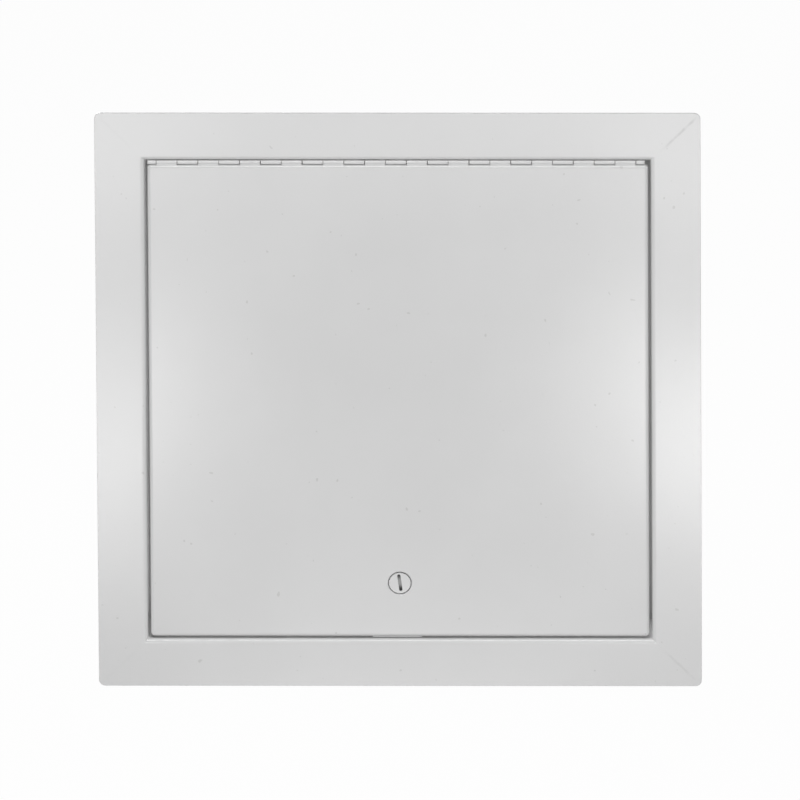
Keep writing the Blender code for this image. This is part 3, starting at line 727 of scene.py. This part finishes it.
def stud_profile():
    """The stud's (y, radius) profile: slotless head, plain shank, chamfered tip."""
    neck_y, end_y = FACE_Y + HEAD_THICKNESS, STUD_HIGH[1]
    face_radius = HEAD_RADIUS - HEAD_EDGE
    face = np.stack([np.full(8, FACE_Y), np.linspace(AXIS_RADIUS, face_radius, 9)[:-1]], axis=-1)
    front = arc((FACE_Y + HEAD_EDGE, face_radius), HEAD_EDGE, 180.0, 90.0, 6)
    back = arc((neck_y - HEAD_BACK_EDGE, HEAD_RADIUS - HEAD_BACK_EDGE), HEAD_BACK_EDGE, 90.0, 0.0, 3)
    shank_y = np.arange(neck_y, end_y - TIP_LENGTH - TIP_EASE, THREAD_PITCH / 10)
    shank = np.stack([shank_y, np.full(len(shank_y), SHANK_RADIUS)], axis=-1)
    tip = [(end_y - TIP_LENGTH, SHANK_RADIUS - TIP_EASE), (end_y, SHANK_RADIUS - TIP_CHAMFER)]
    end_radii = np.linspace(SHANK_RADIUS - 2 * TIP_CHAMFER, AXIS_RADIUS, 4)
    end = np.stack([np.full(4, end_y), end_radii], axis=-1)
    return np.concatenate([face, front, back, shank, tip, end])


def make_stud():
    """The stud: a slotted head, a plain neck and a threaded shank with two flats.

    Its radius is the profile's, less a thread of |sawtooth| of (y / pitch - angle / full turn), and
    never more than half the flats over |sin angle| behind the spring.
    """
    profile = stud_profile()
    steps = 96
    angles = np.linspace(0, 2 * math.pi, steps, endpoint=False)
    y, radius = profile[:, :1], profile[:, 1:]
    cam_y = node_box("cam")[0][1] - SEAT
    phase = (y / THREAD_PITCH - angles / (2 * math.pi)) % 1.0
    threaded = (y > cam_y - THREAD_PITCH) & (radius == SHANK_RADIUS)
    thread = THREAD_DEPTH * np.abs(2 * phase - 1) * threaded
    flats = SHANK_FLATS / 2 / np.maximum(np.abs(np.sin(angles)), 1e-6)
    radii = np.minimum(radius - thread, np.where(y > cam_y, flats, HEAD_RADIUS))
    rings = np.zeros((len(profile), steps, 3))
    rings[:, :, 0] = LATCH_X + radii * np.cos(angles)
    rings[:, :, 1] = y
    rings[:, :, 2] = LATCH_Z + radii * np.sin(angles)
    stud = swept("stud", rings, 40.0)
    carved(stud, slot_cutter())
    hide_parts("latch_stud")
    return stud


def slot_cutter():
    """The slot: as wide as a stadium at each station, shallow in the middle and deep at its ends."""
    half = SLOT_LENGTH / 2
    radius = SLOT_WIDTH / 2
    angle = np.linspace(-math.pi / 2, math.pi / 2, 41)
    along = half * SLOT_REACH * np.sin(angle)
    past = np.maximum(np.abs(along) - (half - radius), 0)
    width = np.sqrt(np.maximum(radius**2 - past**2, 0))
    depth = np.interp(np.abs(along) / half, SLOT_SLOPE, (SLOT_MIDDLE_DEPTH, SLOT_END_DEPTH))
    across = np.stack([-width, -0.8 * width, 0.8 * width, width, width, -width], axis=-1)
    bottom = FACE_Y + depth
    shoulder = bottom - SLOT_SHOULDER
    top = np.full_like(bottom, FACE_Y - CUT_MARGIN)
    y = np.stack([shoulder, bottom, bottom, shoulder, top, top], axis=-1)
    lean = math.radians(SLOT_LEAN)
    rings = np.zeros((*across.shape, 3))
    rings[:, :, 0] = LATCH_X + across * math.cos(lean) - along[:, None] * math.sin(lean)
    rings[:, :, 1] = y
    rings[:, :, 2] = LATCH_Z + SLOT_RISE + across * math.sin(lean) + along[:, None] * math.cos(lean)
    return swept("slot_cutter", rings)


def make_washer():
    """The plain washer, its rim eased."""
    low, high = node_box("latch_washer")
    outer = (high[0] - low[0]) / 2
    inner = SHANK_RADIUS + SHANK_CLEARANCE
    corners = [(low[1], inner), (low[1], outer), (high[1], outer), (high[1], inner)]
    outline = softened(corners, [HARDWARE_EDGE] * 4, 4)
    washer = ring_shaped("washer", turned(outline, 72, LATCH_PLACE))
    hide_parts("latch_washer")
    return washer


def helix(section, radius, angles, heights):
    """A (out, along) section carried round the latch's axis, one ring for each angle and height."""
    out = radius + section[:, 0][None, :]
    rings = np.zeros((len(angles), len(section), 3))
    rings[:, :, 0] = LATCH_X + out * np.cos(angles)[:, None]
    rings[:, :, 1] = heights[:, None] + section[:, 1][None, :]
    rings[:, :, 2] = LATCH_Z + out * np.sin(angles)[:, None]
    return rings


def make_spring():
    """A compression spring: the pitch is closed for most of a turn at each end and open between."""
    low, high = node_box("latch_spring")
    wire = SPRING_WIRE / 2
    turns = np.linspace(0, SPRING_TURNS, 140)
    rise = high[1] - low[1] - SPRING_WIRE
    closed_rise = CLOSED_TURNS * CLOSED_PITCH
    heights = np.interp(
        turns,
        [0, CLOSED_TURNS, SPRING_TURNS - CLOSED_TURNS, SPRING_TURNS],
        [0, closed_rise, rise - closed_rise, rise],
    )
    section = arc((0, 0), wire, 0.0, 360.0, 14)[:-1]
    radius = (high[0] - low[0]) / 2 - wire
    spring = swept("spring", helix(section, radius, turns * 2 * math.pi, low[1] + wire + heights), 60.0)
    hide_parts("latch_spring")
    return spring


def make_cam():
    """The cam arm: two circles and their tangents, inset at the eased edges, with its hole."""
    low, high = node_box("cam")
    hub = (high[2] - low[2]) / 2
    tip = CAM_TIP_WIDTH / 2
    span = high[0] - LATCH_X - tip
    lean = math.degrees(math.asin((hub - tip) / span))
    half_count = 36
    edge = HARDWARE_EDGE

    def outer(inset):
        far = arc((span, 0.0), tip - inset, -90.0 + lean, 90.0 - lean, half_count - 1)
        near = arc((0.0, 0.0), hub - inset, 90.0 - lean, 270.0 + lean, half_count - 1)
        return np.concatenate([far, near])

    def hole(inset):
        radius = SHANK_RADIUS + SHANK_CLEARANCE + inset
        flats = SHANK_FLATS / 2 + SHANK_CLEARANCE + inset
        right = arc((0.0, 0.0), radius, -60.0, 60.0, half_count - 1)
        left = arc((0.0, 0.0), radius, 70.0, 290.0, half_count - 1)
        return np.clip(np.concatenate([right, left]), (-radius, -flats), (radius, flats))

    front = arc((low[1] + edge, edge), edge, 180.0, 270.0, 4)
    back = arc((high[1] - edge, edge), edge, 270.0, 360.0, 4)
    eased = np.concatenate([front, back])
    rings = [placed(LATCH_PLACE + outer(inset), y) for y, inset in eased]
    rings += [placed(LATCH_PLACE + hole(inset), y) for y, inset in eased[::-1]]
    cam = ring_shaped("cam_arm", np.array(rings))
    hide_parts("cam")
    return cam


def make_lock_washer():
    """The split washer: a square section carried most of a turn, its ends a little apart."""
    low, high = node_box("cam_lock_washer")
    inner = SHANK_RADIUS + SHANK_CLEARANCE
    outer = (high[2] - low[2]) / 2
    thickness = (high[1] - low[1]) / 2
    half = (outer - inner) / 2
    top = thickness / 2
    section = softened([(-half, -top), (half, -top), (half, top), (-half, top)], [SPLIT_EDGE] * 4, 3)
    angles = np.radians(np.linspace(SPLIT_ANGLE / 2, 360.0 - SPLIT_ANGLE / 2, 72))
    heights = np.linspace(low[1] + thickness / 2, high[1] - thickness / 2, 72)
    washer = swept("lock_washer", helix(section, (inner + outer) / 2, angles, heights))
    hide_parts("cam_lock_washer")
    return washer


def make_nut():
    """The nut: its radius is the smaller of the hexagon's and of a cone at each face."""
    low, high = node_box("cam_nut")
    flats = (high[2] - low[2]) / 2
    corner = flats / math.cos(math.radians(30))
    angles = np.linspace(0, 2 * math.pi, 144, endpoint=False)
    around = np.stack([np.cos(angles), np.sin(angles)], axis=-1)
    hexagon = flats / np.cos((angles % (math.pi / 3)) - math.pi / 6)
    cone = np.linspace((0, flats - NUT_FACE_INSET), (NUT_CHAMFER, corner + NUT_CORNER_SPARE), 6)
    bore = SHANK_RADIUS + SHANK_CLEARANCE
    mouth = bore + NUT_BORE_CHAMFER
    rows = [(low[1] + depth, np.minimum(hexagon, radius)) for depth, radius in cone]
    rows += [(high[1] - depth, np.minimum(hexagon, radius)) for depth, radius in cone[::-1]]
    rows += [(high[1], mouth), (high[1] - NUT_BORE_CHAMFER, bore)]
    rows += [(low[1] + NUT_BORE_CHAMFER, bore), (low[1], mouth)]
    rings = [placed(LATCH_PLACE + np.reshape(radius, (-1, 1)) * around, y) for y, radius in rows]
    nut = ring_shaped("nut", np.array(rings), 24.0)
    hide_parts("cam_nut")
    return nut


# Materials: a wire is an output socket, and sums and products of wires add their Math nodes.

class Wire:
    """An output socket of a node tree that takes part in Python expressions."""

    def __init__(self, tree, socket=None):
        self.tree = tree
        self.socket = socket

    def node(self, kind, inputs=None, output=0, **settings):
        """Add a node: its settings first, then the values or wires of its sockets."""
        made = self.tree.nodes.new(kind)
        for key, value in settings.items():
            setattr(made, key, value)
        for key, value in (inputs or {}).items():
            if isinstance(value, Wire):
                self.tree.links.new(value.socket, made.inputs[key])
            else:
                made.inputs[key].default_value = value
        return Wire(self.tree, made.outputs[output])

    def math(self, operation, first, second=0.0):
        """One Math node."""
        return self.node("ShaderNodeMath", {0: first, 1: second}, operation=operation)

    def __add__(self, other):
        return self.math("ADD", self, other)

    __radd__ = __add__

    def __sub__(self, other):
        return self.math("SUBTRACT", self, other)

    def __rsub__(self, other):
        return self.math("SUBTRACT", other, self)

    def __mul__(self, other):
        return self.math("MULTIPLY", self, other)

    __rmul__ = __mul__

    def __truediv__(self, other):
        return self.math("DIVIDE", self, other)

    def __rtruediv__(self, other):
        return self.math("DIVIDE", other, self)

    def __pow__(self, other):
        return self.math("POWER", self, other)

    def size(self):
        """The value without its sign."""
        return self.math("ABSOLUTE", self)

    def between(self, low, high):
        """0 below low, 1 above high and a smooth rise between them."""
        return self.node(
            "ShaderNodeMapRange",
            {"Value": self, "From Min": low, "From Max": high},
            interpolation_type="SMOOTHSTEP",
        )

    def noise(self, scale, detail):
        """Noise at a position, whose features are about one over scale metres wide."""
        return self.node("ShaderNodeTexNoise", {"Vector": self, "Scale": scale, "Detail": detail})

    def mixed(self, first, second):
        """A colour between two others, by this wire."""
        return self.node("ShaderNodeMix", {0: self, 6: first, 7: second}, output=2, data_type="RGBA")


def new_material(name):
    """A material's tree with its Principled node, and its Object coordinates."""
    material = bpy.data.materials.new(name)
    material.use_nodes = True
    tree = material.node_tree
    shader = tree.nodes["Principled BSDF"]
    place = Wire(tree).node("ShaderNodeTexCoord", output="Object")
    return material, shader, place


def plug(shader, name, value):
    """Set a socket of the shader, or link it."""
    if isinstance(value, Wire):
        value.tree.links.new(value.socket, shader.inputs[name])
    else:
        shader.inputs[name].default_value = value


def bumped(height, distance):
    """A normal from a height that runs from 0 to 1, where 1 stands for a distance."""
    return height.node("ShaderNodeBump", {"Height": height, "Distance": distance}, output="Normal")


def coordinates(place):
    """The x, y and z of a position."""
    return [place.node("ShaderNodeSeparateXYZ", {0: place}, output=axis) for axis in "XYZ"]


def coat_tone(drift):
    """Two nearly equal greys, mixed by a slow drift."""
    return drift.between(0.3, 0.7).mixed(COAT_DULL, COAT_LIGHT)


def dusted(place, tone):
    """A colour with a few specks of dust on it."""
    speck = place.noise(SPECK_SCALE, 0.0).between(0.86, 0.9)
    return (speck * 0.5).mixed(tone, COAT_SPECK)


def coat_relief(place, peel):
    """Orange peel with a fine grain on it, as a height from 0 to 1."""
    return peel * 0.75 + place.noise(GRAIN_SCALE, 1.0) * 0.25


def make_coat():
    """White semi-gloss powder coat: a faint drift of tone, orange peel and a few specks of dust."""
    material, shader, place = new_material("panel_coat")
    drift = place.noise(DRIFT_SCALE, 3.0)
    peel = place.noise(PEEL_SCALE, 1.0)
    plug(shader, "Base Color", dusted(place, coat_tone(drift)))
    plug(shader, "Roughness", 0.17 + 0.03 * peel + 0.03 * drift)
    plug(shader, "Normal", bumped(coat_relief(place, peel), PEEL_DEPTH))
    return material


def make_stud_coat():
    """The same coat, with painted shade down in the slot, darkest at its two ends."""
    material, shader, place = new_material("stud_coat")
    peel = place.noise(PEEL_SCALE, 1.0)
    x, y, z = coordinates(place)
    lean = math.radians(SLOT_LEAN)
    right, up = x - LATCH_X, z - (LATCH_Z + SLOT_RISE)
    across = (right * math.cos(lean) + up * math.sin(lean)).size()
    along = (up * math.cos(lean) - right * math.sin(lean)).size()
    depth = y - FACE_Y
    in_width = 1 - across.between(0.46 * SLOT_WIDTH, 0.52 * SLOT_WIDTH)
    in_length = 1 - along.between(0.49 * SLOT_LENGTH, 0.51 * SLOT_LENGTH)
    in_depth = depth.between(0.1 * MM, 0.5 * MM) * (1 - depth.between(2.0 * MM, 2.1 * MM))
    towards_end = along.between(0.1 * SLOT_LENGTH, 0.42 * SLOT_LENGTH)
    # Painted shade down in the slot, heavier towards its two ends, where the coat is also rougher.
    slot_shade = in_width * in_length * in_depth * (0.55 + 0.45 * towards_end)
    plug(shader, "Base Color", slot_shade.mixed(COAT_LIGHT, SLOT_SHADE))
    plug(shader, "Roughness", 0.2 + 0.03 * peel + 0.3 * slot_shade)
    plug(shader, "Normal", bumped(coat_relief(place, peel), PEEL_DEPTH))
    return material


def mitre_smear(place):
    """How much of the ground weld shows along each mitre, from 0 to 1.

    The line is where the distances past the opening in x and z are equal, and its weight differs
    from corner to corner.
    """
    x, _, z = coordinates(place)
    out_x = x.size() - HALF_WIDTH
    out_z = z.size() - HALF_HEIGHT
    wobble = (place.noise(160.0, 2.0) - 0.5) * 1.6 * MM
    across = (out_x - out_z) / math.sqrt(2) + wobble
    along = (out_x + out_z) / 2
    line = 1 - across.size().between(0.1 * MM, 1.3 * MM)
    right = x.between(-1 * MM, 1 * MM)
    top = z.between(-1 * MM, 1 * MM)
    weight = 0.12 + right * top * 0.88 + right * (1 - top) * 0.4
    reach = along.between(4 * MM, 15 * MM) * (1 - along.between(24 * MM, 29 * MM))
    broken = place.noise(210.0, 2.0).between(0.35, 0.6)
    return line * weight * reach * (0.35 + 0.65 * broken)


def make_frame_coat():
    """Powder coat over mitres that were welded and ground flush: a smeared, slightly hollow line.

    Its heights are in metres: the hollow, the coat's relief, the frame's lean and the slow waves
    that sheet metal keeps.
    """
    material, shader, place = new_material("frame_coat")
    drift = place.noise(DRIFT_SCALE, 3.0)
    peel = place.noise(PEEL_SCALE, 1.0)
    smear = mitre_smear(place)
    plug(shader, "Base Color", dusted(place, (smear * 0.42).mixed(coat_tone(drift), MITRE_SMEAR)))
    plug(shader, "Roughness", 0.17 + 0.03 * peel + 0.03 * drift)
    surface = (1 - smear + coat_relief(place, peel)) * PEEL_DEPTH
    lean = coordinates(place)[2] * -math.tan(math.radians(FRAME_LEAN))
    waves = (place.noise(WAVE_SCALE, 0.0) - 0.5) * WAVE_DEPTH
    plug(shader, "Normal", bumped(surface + lean + waves, 1.0))
    return material


def make_zinc():
    """Bright zinc plate: faintly blue and straw-coloured, with a fine grain from tumbling."""
    material, shader, place = new_material("zinc")
    cloud = place.noise(220.0, 3.0)
    grain = place.noise(2400.0, 2.0)
    plug(shader, "Base Color", cloud.between(0.35, 0.65).mixed(ZINC_BLUE, ZINC_STRAW))
    plug(shader, "Metallic", 1.0)
    plug(shader, "Roughness", 0.24 + 0.18 * grain + 0.08 * cloud)
    plug(shader, "Normal", bumped(grain, PLATE_DEPTH))
    return material


def make_spring_steel():
    """Dark oiled steel with fine draw lines."""
    material, shader, place = new_material("oiled_steel")
    cloud = place.noise(300.0, 2.0)
    grain = place.noise(3000.0, 2.0)
    plug(shader, "Base Color", cloud.between(0.3, 0.7).mixed(STEEL_DARK, STEEL_LIGHT))
    plug(shader, "Metallic", 1.0)
    plug(shader, "Roughness", 0.3 + 0.15 * grain)
    plug(shader, "Normal", bumped(grain, PLATE_DEPTH))
    return material


def make_bead_metal():
    """Weld bead under grey primer, darker in its furrows."""
    material, shader, place = new_material("bead_metal")
    turn = coordinates(place)[1] * (math.pi / BEAD_RIPPLE)
    furrow = turn.math("SINE", turn).size()
    grit = place.noise(1500.0, 3.0)
    plug(shader, "Base Color", (furrow * 0.6 + grit * 0.4).mixed(BEAD_DARK, BEAD_LIGHT))
    plug(shader, "Roughness", 0.5 + 0.2 * grit)
    plug(shader, "Normal", bumped(grit, GRIT_DEPTH))
    return material


def dress(pieces, material, body):
    """Give pieces their material and slot, and let them ride on a body."""
    for piece in pieces:
        flats_kept_flat(piece)
        piece.data.materials.clear()
        piece.data.materials.append(material)
        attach(piece, body)


# Stage.

def make_stage_plane(name, corners, material):
    """A flat four-sided sheet of the stage."""
    mesh = bpy.data.meshes.new(name)
    mesh.from_pydata(corners, [], [(0, 1, 2, 3)])
    item = bpy.data.objects.new(name, mesh)
    bpy.context.scene.collection.objects.link(item)
    mesh.materials.append(material)
    return item


def seen_straight(tree):
    """1 for what the camera sees straight, in a gloss or through glass, and 0 for the light that it gives."""
    wire = Wire(tree)
    camera = wire.node("ShaderNodeLightPath", output="Is Camera Ray")
    gloss = wire.node("ShaderNodeLightPath", output="Is Glossy Ray")
    through = wire.node("ShaderNodeLightPath", output="Is Transmission Ray")
    return wire.math("MAXIMUM", camera, wire.math("MAXIMUM", gloss, through))


def matte(name, tone, roughness=1.0):
    """A plain grey for the stage, with its shader."""
    material, shader, _ = new_material(name)
    plug(shader, "Base Color", (tone, tone, tone, 1.0))
    plug(shader, "Roughness", roughness)
    return material, shader


def laid_over(material, shader, share, other):
    """Mix another shader over a material's own, by a share."""
    tree = material.node_tree
    surface = Wire(tree, shader.outputs["BSDF"])
    both = surface.node("ShaderNodeMixShader", {0: share, 1: surface, 2: other}, output="Shader")
    tree.links.new(both.socket, tree.nodes["Material Output"].inputs["Surface"])


def make_floor():
    """A plain pale floor well below the panel. Where it is seen, most of it is plain white."""
    material, shader = matte("floor", FLOOR_TONE, 0.9)
    tree = material.node_tree
    white = Wire(tree).node("ShaderNodeEmission", {"Color": (1, 1, 1, 1), "Strength": 1.0})
    laid_over(material, shader, seen_straight(tree) * FLOOR_WHITE, white)
    near, far, z = -FLOOR_REACH, FLOOR_REACH, -FLOOR_DROP
    make_stage_plane("floor", [(near, near, z), (far, near, z), (far, far, z), (near, far, z)], material)


def make_gap_shade():
    """Painted shade behind the gaps: a narrow grey card along each side, close behind the frame, clear from
    behind.
    """
    material, shader = matte("cavity", GAP_SHADE_TONE)
    wire = Wire(material.node_tree)
    behind = wire.node("ShaderNodeNewGeometry", output="Backfacing")
    laid_over(material, shader, behind, wire.node("ShaderNodeBsdfTransparent"))
    outer = HALF_WIDTH + FRAME_SHEET / 2
    inner = HALF_WIDTH - GAP_SHADE_WIDTH
    y = REAR_Y + GAP_SHADE_SETBACK
    strip = np.array([(-outer, y, inner), (outer, y, inner), (outer, y, outer), (-outer, y, outer)])
    for quarters, side in enumerate(("top", "right", "bottom", "left")):
        make_stage_plane(f"{side}_cavity", turned_about_y(strip, quarters).tolist(), material)


def make_world():
    """Even light from all sides, and white where it is seen straight."""
    world = bpy.data.worlds.new("studio")
    bpy.context.scene.world = world
    world.use_nodes = True
    tree = world.node_tree
    background = tree.nodes["Background"]
    background.inputs["Color"].default_value = (1, 1, 1, 1)
    strength = seen_straight(tree) * (1.0 - WORLD_LEVEL) + WORLD_LEVEL
    tree.links.new(strength.socket, background.inputs["Strength"])


def make_lamp(name, place, aim, size, power, shape="RECTANGLE"):
    """A soft lamp, as wide and high as size says, that faces a point."""
    light = bpy.data.lights.new(name, "AREA")
    light.shape = shape
    light.size, light.size_y = size
    light.energy = power
    item = bpy.data.objects.new(name, light)
    bpy.context.scene.collection.objects.link(item)
    direction = np.array(aim) - np.array(place)
    across = math.atan2(direction[0], -direction[1])
    level = math.hypot(direction[0], direction[1])
    item.location = place
    item.rotation_euler = (math.atan2(level, -direction[2]), 0.0, math.pi + across)


def mirrored_place(x, z):
    """Where a thing stands that the camera sees mirrored in the face at x and z."""
    return np.array([x, FACE_Y, z]) + camera_direction() * (-1, 1, -1) * GLEAM_DISTANCE


def make_gleam(name, x, z, size, power):
    """A round lamp that is mirrored in the face at x and z."""
    make_lamp(name, mirrored_place(x, z), (x, FACE_Y, z), size, power, "ELLIPSE")


def make_flag(name, x, z, size):
    """A dark card, itself unseen, that is mirrored in the face at x and z and dims it there."""
    middle = mirrored_place(x, z)
    half = size / 2
    shifts = np.array([(-half, 0, -half), (half, 0, -half), (half, 0, half), (-half, 0, half)])
    flag = make_stage_plane(name, (middle + shifts).tolist(), matte(name, FLAG_TONE)[0])
    flag.visible_camera = False


def make_lamps():
    """The main lamp above in front, one at each side and one behind, and what the face mirrors."""
    middle = (0.0, 0.0, 0.0)
    make_lamp("main", (0.0, -1.3, 1.9), middle, (1.2, 0.8), 24.0)
    make_lamp("left_side", (-2.4, -0.5, 0.1), middle, (1.6, 1.6), 12.0)
    make_lamp("right_side", (2.4, -0.5, 0.1), middle, (1.6, 1.6), 10.0)
    make_lamp("behind", (-0.9, 2.2, 1.0), middle, (1.2, 1.2), 24.0)
    make_gleam("top_gleam", 0.0, 0.26, (0.6, 0.2), 0.82)
    make_gleam("bottom_gleam", 0.0, -0.23, (0.3, 0.08), 0.44)
    make_gleam("left_gleam", -0.20, 0.0, (0.12, 0.12), 0.49)
    make_gleam("right_gleam", 0.20, 0.005, (0.12, 0.12), 0.62)
    make_gleam("top_left_gleam", -0.20, 0.20, (0.1, 0.1), 0.19)
    make_gleam("top_right_gleam", 0.20, 0.20, (0.1, 0.1), 0.20)
    make_flag("bottom_left_flag", -0.28, -0.28, 0.3)


def camera_direction():
    """The way from the panel to the camera."""
    azimuth, elevation = math.radians(CAMERA_AZIMUTH), math.radians(CAMERA_ELEVATION)
    level = math.cos(elevation)
    return np.array([math.sin(azimuth) * level, -math.cos(azimuth) * level, math.sin(elevation)])


def make_camera():
    """A very long lens, turned about the panel from straight in front."""
    camera = bpy.data.cameras.new("camera")
    camera.lens = CAMERA_LENS
    camera.sensor_width = 36.0
    camera.clip_start = 1.0
    camera.clip_end = 60.0
    item = bpy.data.objects.new("camera", camera)
    bpy.context.scene.collection.objects.link(item)
    item.location = np.array(CAMERA_AIM) + camera_direction() * CAMERA_DISTANCE
    turn = Matrix.Rotation(math.radians(CAMERA_AZIMUTH), 3, "Z")
    turn = turn @ Matrix.Rotation(math.radians(90.0 - CAMERA_ELEVATION), 3, "X")
    turn = turn @ Matrix.Rotation(math.radians(CAMERA_ROLL), 3, "Z")
    item.rotation_euler = turn.to_euler()
    bpy.context.scene.camera = item


def main():
    """Build, dress and light the panel."""
    make_camera()
    coat = make_coat()
    zinc = make_zinc()
    oiled = make_spring_steel()
    dress(make_frame(), make_frame_coat(), "frame")
    dress(make_beads(), make_bead_metal(), "frame")
    dress([make_strike()], coat, "frame")
    frame_leaf = make_leaf("frame_leaf", "hinge_frame_leaf", LEAF_HIGH[1], 1, 1)
    door_leaf = make_leaf("door_leaf", "hinge_door_leaf", DOOR_LEAF_HIGH[1], -1, 0, painted_foot())
    carved(door_leaf, stake_cutter())
    dress([frame_leaf], coat, "frame")
    dress([door_leaf], coat, "door")
    dress([make_pin()], oiled, "frame")
    dress([make_door()], coat, "door")
    dress([make_stud()], make_stud_coat(), "latch")
    dress([make_washer(), make_cam(), make_nut()], zinc, "latch")
    dress([make_spring(), make_lock_washer()], oiled, "latch")
    make_floor()
    make_gap_shade()
    make_world()
    make_lamps()
    bpy.context.scene.view_settings.view_transform = "Standard"


main()
